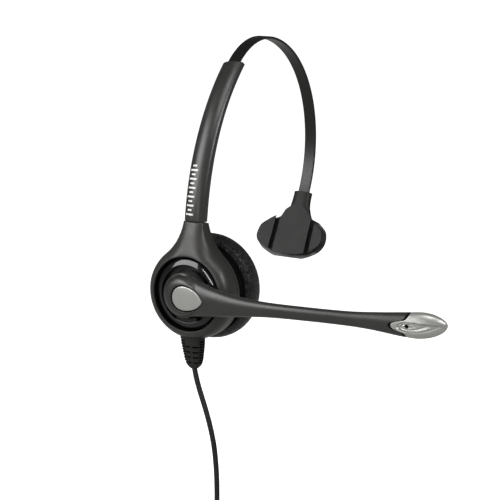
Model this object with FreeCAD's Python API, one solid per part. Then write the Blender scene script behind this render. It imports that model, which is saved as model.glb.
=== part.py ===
import FreeCAD, Part
import math
import os

# Single-ear office headset, in millimetres.
# Origin: the ear reference point, the centre of the ear cushion's contact face.
# +X points forward, the way the microphone boom points, +Y points across the
# head towards the temple pad, and +Z points up.

V = FreeCAD.Vector

# ---------------------------------------------------------------- ear cup
CUP_BACK = -20.0            # face of the back cover, towards the ear
COVER_THICK = 1.6
SHELL_BACK = CUP_BACK - COVER_THICK
CUP_FRONT = -31.7           # rim of the front opening
CUP_R = 23.0
RIM_R = 21.4
RIM_ROUND = 2.4
OPENING_R = 18.2
WALL = 1.6
WEB_FRONT = -26.0           # floor of the round recess
WEB_BACK = -24.6
WEB_HOLE_R = 7.4
NECK_HALF = 4.9             # least half width of the neck's flare
NECK_FLARE_R = 28.0
NECK_TOP_Z = 33.5
NECK_TOP_FRONT = -27.0
NECK_LOW_FRONT = -29.4
NECK_LOW_Z = 17.0
SCREW_ANGLES = (-140, -20, 62, 118)
SCREW_PCD_R = 18.6
SCREW_R = 0.9
SCREW_HEAD_R = 1.7
BOSS_R = 2.0
SOCKET_HALF = 6.6           # opening for the strain relief's collar
SOCKET_FRONT, SOCKET_LOW = -29.1, -24.5

# ---------------------------------------------------------------- turret
TURRET_R = 16.4
MOAT_OUTER_R = 13.7
MOAT_INNER_R = 11.2
MOAT_FLOOR = -28.2
TURRET_FRONT = -31.0
LAND_FROM, LAND_TO = 245, 295    # solid end of the moat, degrees from +X to +Z
HUB_R = 5.0
RUNNING_GAP = 0.05
HUB_END = -22.6

# ---------------------------------------------------------------- boom
HEAD_R = 10.9
BOOM_MID = -35.4            # mid plane of the boom at the hub
BOOM_INWARD = 12.0          # how far the microphone end curves towards the cheek
BOOM_LENGTH = 131.0
BOOM_BEND_START = 15.0
TIP_Z = 1.4
CAP_START_X = 110.0         # joint between the arm and the silver cap
CAPSULE_X, CAPSULE_Z = 114.3, 0.3
INLAY_DEPTH = 0.9

# ---------------------------------------------------------------- slider
ARC_Y, ARC_Z, ARC_R = 90.0, 24.0, 114.5   # centre and radius of the slide
SLEEVE_FROM, SLEEVE_TO = 5.2, 46.0        # degrees up from -Y about that centre
SLEEVE_HALF = 5.3
SLEEVE_CROWN = 2.6
SLEEVE_EDGE = 0.7
SLEEVE_INSIDE = 3.0
TONGUE_HALF = 3.6           # tongue that plugs the sleeve into the cup's neck
LINER_HALF = 4.15
LINER_TOP = -0.76           # liner's face towards the band
LEAF_FROM, LEAF_TO = 33.1, 40.9
NOTCH_FROM_STOP, NOTCH_STEP, NOTCHES, NOTCH_WIDTH = 4.0, 1.25, 13, 0.35
RIVET_R, RIVET_AT = 0.8, 9.6
BAND_HALF = 3.175           # 6.35 mm wide spring strip
BAND_T = 1.3
BAND_FROM = 8.0
SLIDE_TRAVEL = 16.0         # degrees, 32 mm along the arc
STOP_FROM, STOP_TO = 8.2, 11.0
# radius and turn of each bend of the strip beyond the sleeve
BAND_BENDS = ((40.0, 54.0), (58.0, 60.0), (60.0, 45.4))
PAD_TAIL = 9.0              # straight end of the strip inside the pad

# ---------------------------------------------------------------- temple pad
PAD_HALF = 20.5
PAD_TOP, PAD_BOTTOM = 14.0, 37.4
PAD_CORNER = 11.0
PAD_NECK_HALF = 6.0
PAD_INNER, PAD_OUTER = -3.4, 1.9
PAD_GROOVE_AT = 10.0
PAD_PIN_AT = 5.0            # pin through the strip, down from its last bend
PAD_PIN_R = 0.9

# ---------------------------------------------------------------- ear capsule
PIVOT_Y = -19.0
PIVOT_PIN_R = 0.9
CAPSULE_R = 19.5
CUSHION_R = 26.0
CUSHION_HOLE_R = 11.0
CUSHION_BACK = -13.9

# ---------------------------------------------------------------- cord
CORD_R = 1.3
CORD_Y = -25.0
RELIEF_END_X, RELIEF_BOTTOM = 1.2, -37.7
RIBS, RIB_PITCH, RIB_THICK = 6, 1.72, 1.0
COIL_CENTRE = V(14.4, -25.0, -137.0)
COIL_R = 14.3
COIL_TUBE_R = 5.2
TIE_WIDTH = 7.0
CORD_ROUTE = (
    V(1.2, -25.0, -37.7),
    V(2.1, -25.0, -41.9),
    V(4.1, -25.1, -47.9),
    V(7.5, -25.3, -56.3),
    V(10.7, -25.4, -65.5),
    V(13.0, -25.2, -75.6),
    V(14.1, -24.9, -86.8),
    V(14.5, -24.7, -98.2),
    V(14.6, -24.9, -108.6),
    V(14.4, -25.1, -118.2),
)
TAIL_ROUTE = (
    V(14.4, -29.9, -121.6),
    V(14.5, -33.4, -124.4),
    V(14.9, -36.0, -131.5),
    V(15.1, -36.2, -142.0),
    V(14.7, -34.6, -151.5),
    V(14.4, -33.4, -160.0),
)
PLUG_CENTRE = V(14.4, -33.4, -160.0)

os.makedirs("parts", exist_ok=True)


def save(name, shape):
    """Writes one piece and says whether it is sound."""
    shape.exportStep("parts/" + name + ".step")
    print(f"{name:22s} solids {len(shape.Solids)} valid {shape.isValid()} volume {shape.Volume:9.2f}")


def turned(profile):
    """A solid of revolution about the cup's axis from (radius, y) points."""
    points = [V(r, y, 0) for r, y in profile]
    face = Part.Face(Part.makePolygon(points + points[:1]))
    return face.revolve(V(0, 0, 0), V(0, 1, 0), 360)


def disc(radius, y_from, y_to, x=0.0, z=0.0):
    """A cylinder along Y."""
    low, high = min(y_from, y_to), max(y_from, y_to)
    return Part.makeCylinder(radius, high - low, V(x, low, z), V(0, 1, 0))


def box(x_from, x_to, y_from, y_to, z_from, z_to):
    """A box from its lowest to its highest corner."""
    return Part.makeBox(x_to - x_from, y_to - y_from, z_to - z_from, V(x_from, y_from, z_from))


def polar(radius, degrees, y=0.0):
    """A point of the cup's face plane, at an angle from +X towards +Z."""
    angle = math.radians(degrees)
    return V(radius * math.cos(angle), y, radius * math.sin(angle))


def sector(inner_r, outer_r, from_deg, to_deg, y_from, y_to):
    """Part of a ring about the cup's axis."""
    mid = (from_deg + to_deg) / 2
    outer = [polar(outer_r, degrees, y_from) for degrees in (from_deg, mid, to_deg)]
    inner = [polar(inner_r, degrees, y_from) for degrees in (to_deg, mid, from_deg)]
    edges = [
        Part.Arc(*outer).toShape(),
        Part.makeLine(outer[-1], inner[0]),
        Part.Arc(*inner).toShape(),
        Part.makeLine(inner[-1], outer[0]),
    ]
    return Part.Face(Part.Wire(edges)).extrude(V(0, y_to - y_from, 0))


def rounded(shape, radius, wanted):
    """Fillets the edges that wanted(edge's bounding box) picks."""
    edges = [edge for edge in shape.Edges if wanted(edge.BoundBox)]
    return shape.makeFillet(radius, edges)


def prism(points, direction):
    """A straight-sided prism on a polygon."""
    return Part.Face(Part.makePolygon(points + points[:1])).extrude(direction)


# ================================================================ ear cup

def pear_face(radius, neck_half, flare_r, top_z, y):
    """Round cup outline that flares up into the neck, cut off level at the top."""
    flare_x = neck_half + flare_r
    flare_z = math.sqrt((radius + flare_r) ** 2 - flare_x ** 2)
    reach = radius / (radius + flare_r)
    touch_x, touch_z = flare_x * reach, flare_z * reach
    touch_angle = math.atan2(flare_z, flare_x)
    top_angle = math.asin((flare_z - top_z) / flare_r)

    def flare(angle, side):
        x = flare_x - flare_r * math.cos(angle)
        return V(side * x, y, flare_z - flare_r * math.sin(angle))

    middle = (touch_angle + top_angle) / 2
    bowl = Part.Arc(V(touch_x, y, touch_z), V(0, y, -radius), V(-touch_x, y, touch_z))
    left = Part.Arc(V(-touch_x, y, touch_z), flare(middle, -1), flare(top_angle, -1))
    right = Part.Arc(flare(top_angle, 1), flare(middle, 1), V(touch_x, y, touch_z))
    top = Part.makeLine(flare(top_angle, -1), flare(top_angle, 1))
    return Part.Face(Part.Wire([bowl.toShape(), left.toShape(), top, right.toShape()]))


def neck_wedge(back, low_front, top_front, top_z):
    """Side profile of the neck, thinner towards the sleeve."""
    points = [
        V(-30, back, -30),
        V(-30, back, top_z),
        V(-30, top_front, top_z),
        V(-30, low_front, NECK_LOW_Z),
        V(-30, low_front, -30),
    ]
    return prism(points, V(60, 0, 0))


def make_ear_housing():
    bowl = turned([(0, CUP_FRONT), (RIM_R, CUP_FRONT), (CUP_R, SHELL_BACK), (0, SHELL_BACK)])
    bowl = rounded(bowl, RIM_ROUND, lambda b: b.YMax < CUP_FRONT + 0.1 and b.XMax > RIM_R - 0.5)
    pear = pear_face(CUP_R - 0.2, NECK_HALF, NECK_FLARE_R, NECK_TOP_Z, SHELL_BACK)
    neck = pear.extrude(V(0, CUP_FRONT - SHELL_BACK, 0))
    neck = neck.common(neck_wedge(SHELL_BACK, NECK_LOW_FRONT, NECK_TOP_FRONT, NECK_TOP_Z))
    shell = bowl.fuse(neck).removeSplitter()
    recess = disc(OPENING_R, CUP_FRONT - 1, WEB_FRONT)
    inside = pear_face(CUP_R - WALL, NECK_HALF - WALL, NECK_FLARE_R + WALL, NECK_TOP_Z + 1, SHELL_BACK + 0.1)
    hollow = inside.extrude(V(0, WEB_BACK - SHELL_BACK - 0.1, 0))
    slot_half = TONGUE_HALF + 0.2
    slot_front = NECK_TOP_FRONT + 1.1
    tongue_slot = box(-slot_half, slot_half, slot_front, WEB_BACK + 0.1, 22.6, NECK_TOP_Z + 1)
    shell = shell.cut(recess).cut(hollow).cut(tongue_slot)
    shell = shell.cut(disc(WEB_HOLE_R, WEB_FRONT - 1, WEB_BACK + 1))
    for angle in SCREW_ANGLES:
        at = polar(SCREW_PCD_R, angle)
        boss = disc(BOSS_R, SHELL_BACK - 0.3, WEB_FRONT, at.x, at.z)
        shell = shell.fuse(boss)
    for angle in SCREW_ANGLES:
        at = polar(SCREW_PCD_R, angle)
        shell = shell.cut(disc(SCREW_R, CUP_BACK, WEB_BACK - 2.0, at.x, at.z))
    return shell.cut(relief_socket())


def relief_socket():
    """Opening at the foot of the cup for the strain relief's collar."""
    mouth = box(-SOCKET_HALF, SOCKET_HALF, SOCKET_FRONT, SHELL_BACK, SOCKET_LOW, -21.2)
    return mouth.fuse(box(-4.0, 4.0, -27.6, -22.4, -22, -18))


def make_housing_back():
    plate = pear_face(CUP_R, NECK_HALF, NECK_FLARE_R, NECK_TOP_Z, SHELL_BACK + 0.02)
    plate = plate.extrude(V(0, COVER_THICK - 0.02, 0))
    plate = plate.cut(box(-5.4, 5.4, -21, -19, -4.2, 4.2))
    for angle in SCREW_ANGLES:
        at = polar(SCREW_PCD_R, angle)
        plate = plate.cut(disc(SCREW_R + 0.1, SHELL_BACK - 1, CUP_BACK + 1, at.x, at.z))
        plate = plate.cut(disc(1.9, CUP_BACK - 0.7, CUP_BACK + 1, at.x, at.z))
    for side in (-1, 1):
        ear = box(-1.0, 1.0, -21.2, PIVOT_Y + 1.3, -2.4, 2.4)
        ear.translate(V(side * 5.4, 0, 0))
        bore = Part.makeCylinder(PIVOT_PIN_R, 4, V(side * 5.4 - 2, PIVOT_Y, 0), V(1, 0, 0))
        plate = plate.fuse(ear).cut(bore)
    return plate


def make_housing_screws():
    """Four pan-head screws that hold the back cover."""
    screws = []
    for angle in SCREW_ANGLES:
        at = polar(SCREW_PCD_R, angle)
        head = disc(SCREW_HEAD_R, CUP_BACK - 0.68, CUP_BACK - 0.08, at.x, at.z)
        shank = disc(SCREW_R - 0.02, CUP_BACK - 0.6, WEB_BACK - 1.2, at.x, at.z)
        cross = box(at.x - 1.0, at.x + 1.0, CUP_BACK - 0.4, CUP_BACK, at.z - 0.2, at.z + 0.2)
        cross = cross.fuse(box(at.x - 0.2, at.x + 0.2, CUP_BACK - 0.4, CUP_BACK, at.z - 1.0, at.z + 1.0))
        screws.append(head.fuse(shank).cut(cross))
    return Part.makeCompound(screws)


def make_circuit_board():
    """Crescent board that joins the cord to the speaker and microphone."""
    board = sector(8.2, 15.6, 150, 330, -24.3, -23.3)
    parts_on_it = [sector(9.6, 12.4, a, a + 12, -23.35, -22.4) for a in (165, 190, 215, 285, 305)]
    for chip in parts_on_it:
        board = board.fuse(chip)
    return board


# ================================================================ turret

def make_turret_ring():
    """Gloss ring, moat floor and solid land that stop the boom's lug."""
    ring = turned([
        (TURRET_R, WEB_FRONT),
        (TURRET_R, TURRET_FRONT + 0.9),
        (TURRET_R - 0.8, TURRET_FRONT),
        (MOAT_OUTER_R + 0.6, TURRET_FRONT),
        (MOAT_OUTER_R, TURRET_FRONT + 0.5),
        (MOAT_OUTER_R, MOAT_FLOOR),
        (HUB_R + RUNNING_GAP, MOAT_FLOOR),
        (HUB_R + RUNNING_GAP, WEB_FRONT),
    ])
    land_back, land_front = MOAT_FLOOR + 0.2, TURRET_FRONT + 0.6
    land = sector(MOAT_INNER_R, MOAT_OUTER_R + 0.3, LAND_FROM, LAND_TO, land_back, land_front)
    spigot = turned([
        (WEB_HOLE_R - 0.02, WEB_FRONT - 0.1),
        (WEB_HOLE_R - 0.02, WEB_BACK),
        (HUB_R + RUNNING_GAP, WEB_BACK),
        (HUB_R + RUNNING_GAP, WEB_FRONT - 0.1),
    ])
    return ring.fuse(land).fuse(spigot)


def make_wave_washer():
    """Friction washer between the turret's spigot and the retaining ring."""
    return turned([(HUB_R + 0.1, -24.55), (6.9, -24.55), (6.9, -24.15), (HUB_R + 0.1, -24.15)])


def make_hub_clip():
    """Split retaining ring in the hub's groove."""
    ring = turned([(HUB_R - 0.58, -24.0), (6.6, -24.0), (6.6, -23.4), (HUB_R - 0.58, -23.4)])
    return ring.cut(box(0, 9, -25, -22, -1.6, 1.6))


# ================================================================ boom

def boom_inward(x):
    """How far the boom's mid surface has curved towards the cheek at x."""
    if x <= BOOM_BEND_START:
        return 0.0
    share = (x - BOOM_BEND_START) / (BOOM_LENGTH - BOOM_BEND_START)
    return BOOM_INWARD * share ** 2


def spline(points):
    curve = Part.BSplineCurve()
    curve.interpolate(points)
    return curve.toShape()


def boom_outline():
    """Side view of the arm: waisted, then swelling to the microphone end."""
    top = [(5, 9.6), (18, 5.9), (31, 3.8), (44, 3.0), (63, 3.1), (86, 3.6), (105, 5.2), (116, 6.4),
           (123, 6.4)]
    shoulder_up, tip, shoulder_down = (129.4, 3.4), (BOOM_LENGTH, TIP_Z), (129.6, -0.9)
    bottom = [(124, -4.7), (116, -5.6), (105, -4.6), (86, -3.2), (63, -3.4), (44, -4.3), (22, -7.1),
              (5, -9.7)]
    upper = [V(x, 0, z) for x, z in top + [shoulder_up]]
    lower = [V(x, 0, z) for x, z in [shoulder_down] + bottom]
    edges = [
        spline(upper),
        Part.Arc(upper[-1], V(tip[0], 0, tip[1]), lower[0]).toShape(),
        spline(lower),
        Part.makeLine(lower[-1], upper[0]),
    ]
    face = Part.Face(Part.Wire(edges))
    face.translate(V(0, -60, 0))
    return face.extrude(V(0, 70, 0))


def boom_slab(outer, inner):
    """Plan view slab between two offsets of the boom's mid surface.

    outer and inner are (x, offset) lists: how far the slab stands out from
    the mid surface away from the cheek, and towards it.
    """
    def line(offsets):
        return [V(x, BOOM_MID + boom_inward(x) + offset, -30) for x, offset in offsets]
    outer_line = line(outer)
    inner_line = line(inner)
    edges = [
        spline(outer_line),
        Part.makeLine(outer_line[-1], inner_line[-1]),
        spline(inner_line[::-1]),
        Part.makeLine(inner_line[0], outer_line[0]),
    ]
    return Part.Face(Part.Wire(edges)).extrude(V(0, 0, 60))


BOOM_STATIONS = (0, 22, 45, 70, 90, 108, 119, 127, 131.5)
OUTER_SKIN = (-2.9, -2.8, -2.2, -2.0, -2.1, -3.0, -3.6, -3.2, -1.6)
INNER_SKIN = (2.6, 2.5, 2.0, 1.8, 2.0, 2.9, 3.5, 3.0, 1.4)
PARTING = (0.3,) * len(BOOM_STATIONS)


def stations(offsets):
    return list(zip(BOOM_STATIONS, offsets))


def wire_channel(half_width, half_depth):
    """Narrow passage for the microphone's wires along the boom's middle."""
    low = stations([0.3 - half_depth] * len(BOOM_STATIONS))
    high = stations([0.3 + half_depth] * len(BOOM_STATIONS))
    slab = boom_slab(low, high)
    strip = box(-1.5, CAP_START_X + 1.0, -60, 10, -0.4 - half_width, -0.4 + half_width)
    return slab.common(strip)


def make_boom_shells():
    """Outer and inner halves of the arm, with the turret head on the inner."""
    arm_end = box(-30, CAP_START_X, -60, 10, -30, 30)
    outline = boom_outline().common(arm_end)
    outer = outline.common(boom_slab(stations(OUTER_SKIN), stations(PARTING)))
    inner = outline.common(boom_slab(stations(PARTING), stations(INNER_SKIN)))
    outer = outer.fuse(disc(HEAD_R, BOOM_MID - 2.9, BOOM_MID + 0.3))
    inner = inner.fuse(disc(HEAD_R, BOOM_MID + 0.3, MOAT_FLOOR - RUNNING_GAP))
    hub = turned([
        (0, MOAT_FLOOR - 0.2), (HUB_R, MOAT_FLOOR - 0.2), (HUB_R, -24.02), (HUB_R - 0.6, -24.02),
        (HUB_R - 0.6, -23.38), (HUB_R, -23.38), (HUB_R, HUB_END), (0, HUB_END),
    ])
    lug = sector(HEAD_R - 0.3, MOAT_OUTER_R - 0.3, -6, 6, MOAT_FLOOR - 0.3, -33.2)
    inner = inner.fuse(hub).fuse(lug)
    inner = inner.cut(disc(1.6, HUB_END + 1, BOOM_MID))
    channel = wire_channel(0.9, 0.8)
    tenon_y = BOOM_MID + boom_inward(CAP_START_X) + 0.3
    tenon = box(CAP_START_X - 0.1, CAP_START_X + 1.6, tenon_y - 0.9, tenon_y + 1.6, -1.6, 1.6)
    inner = inner.fuse(tenon)
    outer = outer.cut(inner).cut(channel).cut(inlay_solid())
    inner = inner.cut(channel)
    return outer.removeSplitter(), inner.removeSplitter()


def inlay_solid():
    """Teardrop on the boom's head, round end back and point along the arm."""
    radius, back_x, tip_x, tip_z = 5.5, 1.5, 12.4, -0.9
    reach = tip_x - back_x
    lean = math.acos(radius / reach)
    drop = math.atan2(tip_z, reach)
    upper = V(back_x + radius * math.cos(drop + lean), 0, radius * math.sin(drop + lean))
    lower = V(back_x + radius * math.cos(drop - lean), 0, radius * math.sin(drop - lean))
    edges = [
        Part.Arc(upper, V(back_x - radius, 0, 0), lower).toShape(),
        Part.makeLine(lower, V(tip_x, 0, tip_z)),
        Part.makeLine(V(tip_x, 0, tip_z), upper),
    ]
    face = Part.Face(Part.Wire(edges))
    face.translate(V(0, BOOM_MID - 3.4, 0))
    return face.extrude(V(0, 0.5 + INLAY_DEPTH, 0))


def make_mic_cap():
    """Bullet-shaped silver end that holds the microphone."""
    tip = boom_outline().common(boom_slab(stations(OUTER_SKIN), stations(INNER_SKIN)))
    tip = tip.common(box(CAP_START_X, 140, -60, 10, -30, 30))
    y_mid = BOOM_MID + boom_inward(CAPSULE_X)
    pocket = box(CAP_START_X - 1, CAPSULE_X + 8, y_mid - 2.1, y_mid + 2.1, CAPSULE_Z - 2.9, CAPSULE_Z + 3.1)
    window = disc(2.2, y_mid - 6, y_mid, CAPSULE_X, CAPSULE_Z)
    return tip.cut(pocket).cut(window)


def make_mic_pieces():
    """Grille, capsule and rubber boot inside the cap."""
    y_mid = BOOM_MID + boom_inward(CAPSULE_X)
    grille = disc(2.15, y_mid - 3.3, y_mid - 2.2, CAPSULE_X, CAPSULE_Z)
    for x, z in ((0, 0), (1.1, 0), (-1.1, 0), (0, 1.1), (0, -1.1)):
        grille = grille.cut(disc(0.3, y_mid - 4, y_mid - 2, CAPSULE_X + x, CAPSULE_Z + z))
    inside_x = CAPSULE_X + 0.9
    capsule = disc(2.0, y_mid - 1.3, y_mid + 1.2, inside_x, CAPSULE_Z)
    boot = disc(2.8, y_mid - 2.0, y_mid + 1.9, inside_x, CAPSULE_Z)
    boot = boot.cut(disc(2.01, y_mid - 2.2, y_mid + 1.2, inside_x, CAPSULE_Z))
    return grille, capsule, boot


# ================================================================ slider and band

def arc_point(centre_y, centre_z, radius, degrees, x=0.0):
    """A point at an angle up from -Y about a centre line along X."""
    angle = math.radians(degrees)
    return V(x, centre_y - radius * math.cos(angle), centre_z + radius * math.sin(angle))


def arc_sweep(section, from_deg, to_deg, centre_y=ARC_Y, centre_z=ARC_Z):
    """Sweeps a section of (x, radius) points about a centre line along X."""
    points = [arc_point(centre_y, centre_z, r, from_deg, x) for x, r in section]
    face = Part.Face(Part.makePolygon(points + points[:1]))
    return face.revolve(V(0, centre_y, centre_z), V(-1, 0, 0), to_deg - from_deg)


def arc_bar(half_width, r_in, r_out, from_deg, to_deg):
    section = [(-half_width, r_in), (half_width, r_in), (half_width, r_out), (-half_width, r_out)]
    return arc_sweep(section, from_deg, to_deg)


def make_sleeve():
    """Crowned outer sleeve, inner liner and the leaf that clicks the band."""
    crown = []
    for step in range(-4, 5):
        share = step / 4
        height = SLEEVE_CROWN - (SLEEVE_CROWN - SLEEVE_EDGE) * share ** 2
        crown.append((SLEEVE_HALF * share, ARC_R + height))
    inside_r = ARC_R - SLEEVE_INSIDE
    section = crown + [
        (SLEEVE_HALF, inside_r + 0.8),
        (SLEEVE_HALF - 0.7, inside_r),
        (-SLEEVE_HALF + 0.7, inside_r),
        (-SLEEVE_HALF, inside_r + 0.8),
    ]
    outer = arc_sweep(section, SLEEVE_FROM, SLEEVE_TO)
    tongue = arc_bar(TONGUE_HALF, ARC_R - 1.5, ARC_R + 1.0, -0.4, SLEEVE_FROM + 0.3)
    outer = outer.fuse(tongue)
    liner_room = arc_bar(LINER_HALF + 0.05, ARC_R - 4, ARC_R - 0.75, SLEEVE_FROM + 1.2, SLEEVE_TO + 1)
    band_room = arc_bar(BAND_HALF + 0.1, ARC_R - 0.8, ARC_R + 0.75, 7.2, SLEEVE_TO + 1)
    stop_room = arc_bar(4.0, ARC_R - 0.8, ARC_R + 1.35, 7.2, STOP_TO + SLIDE_TRAVEL + 0.2)
    outer = outer.cut(liner_room).cut(band_room).cut(stop_room)
    liner = arc_bar(LINER_HALF, inside_r, ARC_R + LINER_TOP, SLEEVE_FROM + 1.25, SLEEVE_TO)
    liner = liner.cut(arc_bar(2.3, ARC_R - 1.3, ARC_R, LEAF_FROM - 0.1, LEAF_TO + 0.1))
    leaf = arc_bar(2.2, ARC_R - 1.28, ARC_R - 1.05, LEAF_FROM, LEAF_TO)
    leaf = leaf.fuse(arc_bar(2.2, ARC_R - 1.1, ARC_R - 0.72, 36.6, 37.4))
    return outer, liner, leaf


def make_headband():
    """Spring strip: a concentric run in the sleeve, three bends, a straight tail."""
    half_t = BAND_T / 2
    section = [(-BAND_HALF, -half_t), (BAND_HALF, -half_t), (BAND_HALF, half_t), (-BAND_HALF, half_t)]
    strip = arc_sweep([(x, ARC_R + t) for x, t in section], BAND_FROM, SLEEVE_TO)
    centre_y, centre_z, radius, angle = ARC_Y, ARC_Z, ARC_R, SLEEVE_TO
    for bend_r, bend_deg in BAND_BENDS:
        joint = arc_point(centre_y, centre_z, radius, angle)
        back = arc_point(0, 0, bend_r, angle)
        centre_y, centre_z, radius = joint.y - back.y, joint.z - back.z, bend_r
        bend = arc_sweep([(x, radius + t) for x, t in section], angle, angle + bend_deg, centre_y, centre_z)
        strip = strip.fuse(bend)
        angle += bend_deg
    end = arc_point(centre_y, centre_z, radius, angle)
    heading = V(0, math.sin(math.radians(angle)), math.cos(math.radians(angle)))
    corners = [arc_point(centre_y, centre_z, radius + t, angle, x) for x, t in section]
    tail = prism(corners, heading * PAD_TAIL)
    strip = strip.fuse(tail).removeSplitter()
    for number in range(NOTCHES):
        at = STOP_TO + NOTCH_FROM_STOP + number * NOTCH_STEP
        strip = strip.cut(arc_bar(2.0, ARC_R - 2, ARC_R - half_t + 0.2, at, at + NOTCH_WIDTH))
    rivet_low = arc_point(ARC_Y, ARC_Z, ARC_R - 3, RIVET_AT)
    out = arc_point(0, 0, 1, RIVET_AT)
    strip = strip.cut(Part.makeCylinder(RIVET_R, 8, rivet_low, out))
    outward = V(1, 0, 0).cross(heading)
    pin_low = end + heading * PAD_PIN_AT - outward * 2
    strip = strip.cut(Part.makeCylinder(PAD_PIN_R, 4, pin_low, outward))
    return strip, end, heading


def make_band_stop():
    """Block at the band's hidden end that meets the sleeve's shoulder."""
    stop = arc_bar(3.9, ARC_R + BAND_T / 2, ARC_R + 1.25, STOP_FROM, STOP_TO)
    out = arc_point(0, 0, 1, RIVET_AT)
    low = arc_point(ARC_Y, ARC_Z, ARC_R - BAND_T / 2, RIVET_AT)
    rivet = Part.makeCylinder(RIVET_R, BAND_T + 0.6, low, out)
    return stop.cut(rivet), rivet


# ================================================================ temple pad

def pad_frame(end, heading):
    """Placement of the pad: local X across, local Y down the strip, local Z outward."""
    across = V(1, 0, 0)
    outward = across.cross(heading)
    matrix = FreeCAD.Matrix(
        across.x, heading.x, outward.x, end.x,
        across.y, heading.y, outward.y, end.y,
        across.z, heading.z, outward.z, end.z,
        0, 0, 0, 1)
    return FreeCAD.Placement(matrix)


def pad_oval(half, top, bottom, corner, low, high):
    """Flat oval with generous corners, in the pad's own frame."""
    slab = box(-half, half, top, bottom, low, high)
    return rounded(slab, corner, lambda b: max(b.XLength, b.YLength) < 0.1)


def make_temple_pad(end, heading):
    """Rubber pad with its neck, the stiff plate inside it and the pin."""
    rubber = pad_oval(PAD_HALF, PAD_TOP, PAD_BOTTOM, PAD_CORNER, PAD_INNER, -0.4)
    rubber = rounded(rubber, 1.1, lambda b: b.ZMax < PAD_INNER + 0.01)
    neck = box(-PAD_NECK_HALF, PAD_NECK_HALF, -1.0, PAD_TOP + 4, -2.6, PAD_OUTER)
    neck = rounded(neck, 1.2, lambda b: b.YLength > 10)
    rubber = rubber.fuse(neck)
    for side in (-1, 1):
        x = side * PAD_GROOVE_AT
        groove = [V(x - 1.0, PAD_TOP - 2, PAD_INNER - 0.1), V(x, PAD_TOP - 2, PAD_INNER + 1.1),
                  V(x + 1.0, PAD_TOP - 2, PAD_INNER - 0.1)]
        rubber = rubber.cut(prism(groove, V(0, PAD_BOTTOM - PAD_TOP + 4, 0)))
    plate_room = box(-15, 15, PAD_TOP + 4, PAD_BOTTOM - 4, -1.4, 0)
    room_half, room_t = BAND_HALF + 0.02, BAND_T / 2 + 0.01
    strip_room = box(-room_half, room_half, -2, PAD_TAIL + 0.1, -room_t, room_t)
    key_room = box(-4.6, 4.6, PAD_TAIL + 0.1, PAD_TOP + 4.1, -0.9, 0.9)
    rubber = rubber.cut(plate_room).cut(strip_room).cut(key_room)
    plate = box(-15, 15, PAD_TOP + 4, PAD_BOTTOM - 4, -1.39, -0.01)
    plate = plate.fuse(box(-4.5, 4.5, PAD_TAIL + 0.2, PAD_TOP + 6, -0.89, 0.0))
    plate = plate.fuse(box(-4.5, 4.5, PAD_TAIL + 0.2, PAD_TOP + 3.9, -0.1, 0.85))
    back = pad_oval(PAD_HALF - 1.2, PAD_TOP + 1.0, PAD_BOTTOM - 1.2, PAD_CORNER - 1.2, 0.0, 1.2)
    back = back.cut(box(-PAD_NECK_HALF - 0.05, PAD_NECK_HALF + 0.05, 0, PAD_TOP + 4.05, -1, 3))
    pin = Part.makeCylinder(PAD_PIN_R, PAD_OUTER - PAD_INNER - 2, V(0, PAD_PIN_AT, -2.0), V(0, 0, 1))
    rubber = rubber.cut(pin)
    back_skin = pad_oval(PAD_HALF, PAD_TOP, PAD_BOTTOM, PAD_CORNER, -0.4, 0.0)
    rubber = rubber.fuse(back_skin.cut(plate_room).cut(strip_room).cut(key_room))
    place = pad_frame(end, heading)
    shapes = []
    for shape in (rubber, plate, back, pin):
        moved = shape.copy()
        moved.Placement = place.multiply(moved.Placement)
        shapes.append(moved)
    return shapes


# ================================================================ ear capsule

def make_capsule():
    """Speaker cup, driver, grille and cushion, which tilt on the back cover."""
    cup = turned([
        (0, -16.4), (17.2, -16.4), (17.2, -9.8), (18.4, -9.8), (18.4, -14.9), (21.5, -14.9),
        (21.5, -15.9), (CAPSULE_R, -16.2), (CAPSULE_R, -17.0), (17.0, -17.7), (0, -17.7),
    ])
    knuckle = box(-4.2, 4.2, -19.9, -17.0, -1.5, 1.5)
    knuckle = knuckle.fuse(Part.makeCylinder(1.5, 8.4, V(-4.2, PIVOT_Y, 0), V(1, 0, 0)))
    cup = cup.fuse(knuckle)
    for x_from, x_to in ((-7, -4.25), (4.25, 7)):
        cup = cup.cut(box(x_from, x_to, -20.5, -17.1, -2.9, 2.9))
    cup = cup.cut(Part.makeCylinder(PIVOT_PIN_R + RUNNING_GAP, 12, V(-6, PIVOT_Y, 0), V(1, 0, 0)))
    frame = turned([(5.5, -14.2), (12, -13.6), (16.8, -12.0), (16.8, -10.8), (15.6, -10.8), (15.6, -11.6),
                    (11.6, -13.0), (5.5, -13.6)])
    magnet = turned([(0, -16.3), (8.2, -16.3), (8.2, -14.4), (5.4, -14.4), (5.4, -13.0), (0, -13.0)])
    cone = turned([(0, -11.6), (5.0, -12.4), (10, -11.9), (15.4, -11.2), (15.4, -11.0), (10, -11.6),
                   (5.0, -12.1), (0, -11.3)])
    grille = disc(17.1, -10.6, -9.6)
    for ring_r, count in ((0, 1), (3, 6), (6, 12), (9, 18)):
        for number in range(count):
            at = polar(ring_r, 360 * number / count)
            grille = grille.cut(disc(0.7, -11, -9, at.x, at.z))
    cloth = disc(17.1, -9.58, -9.3)
    return cup, frame, magnet, cone, grille, cloth


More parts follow.
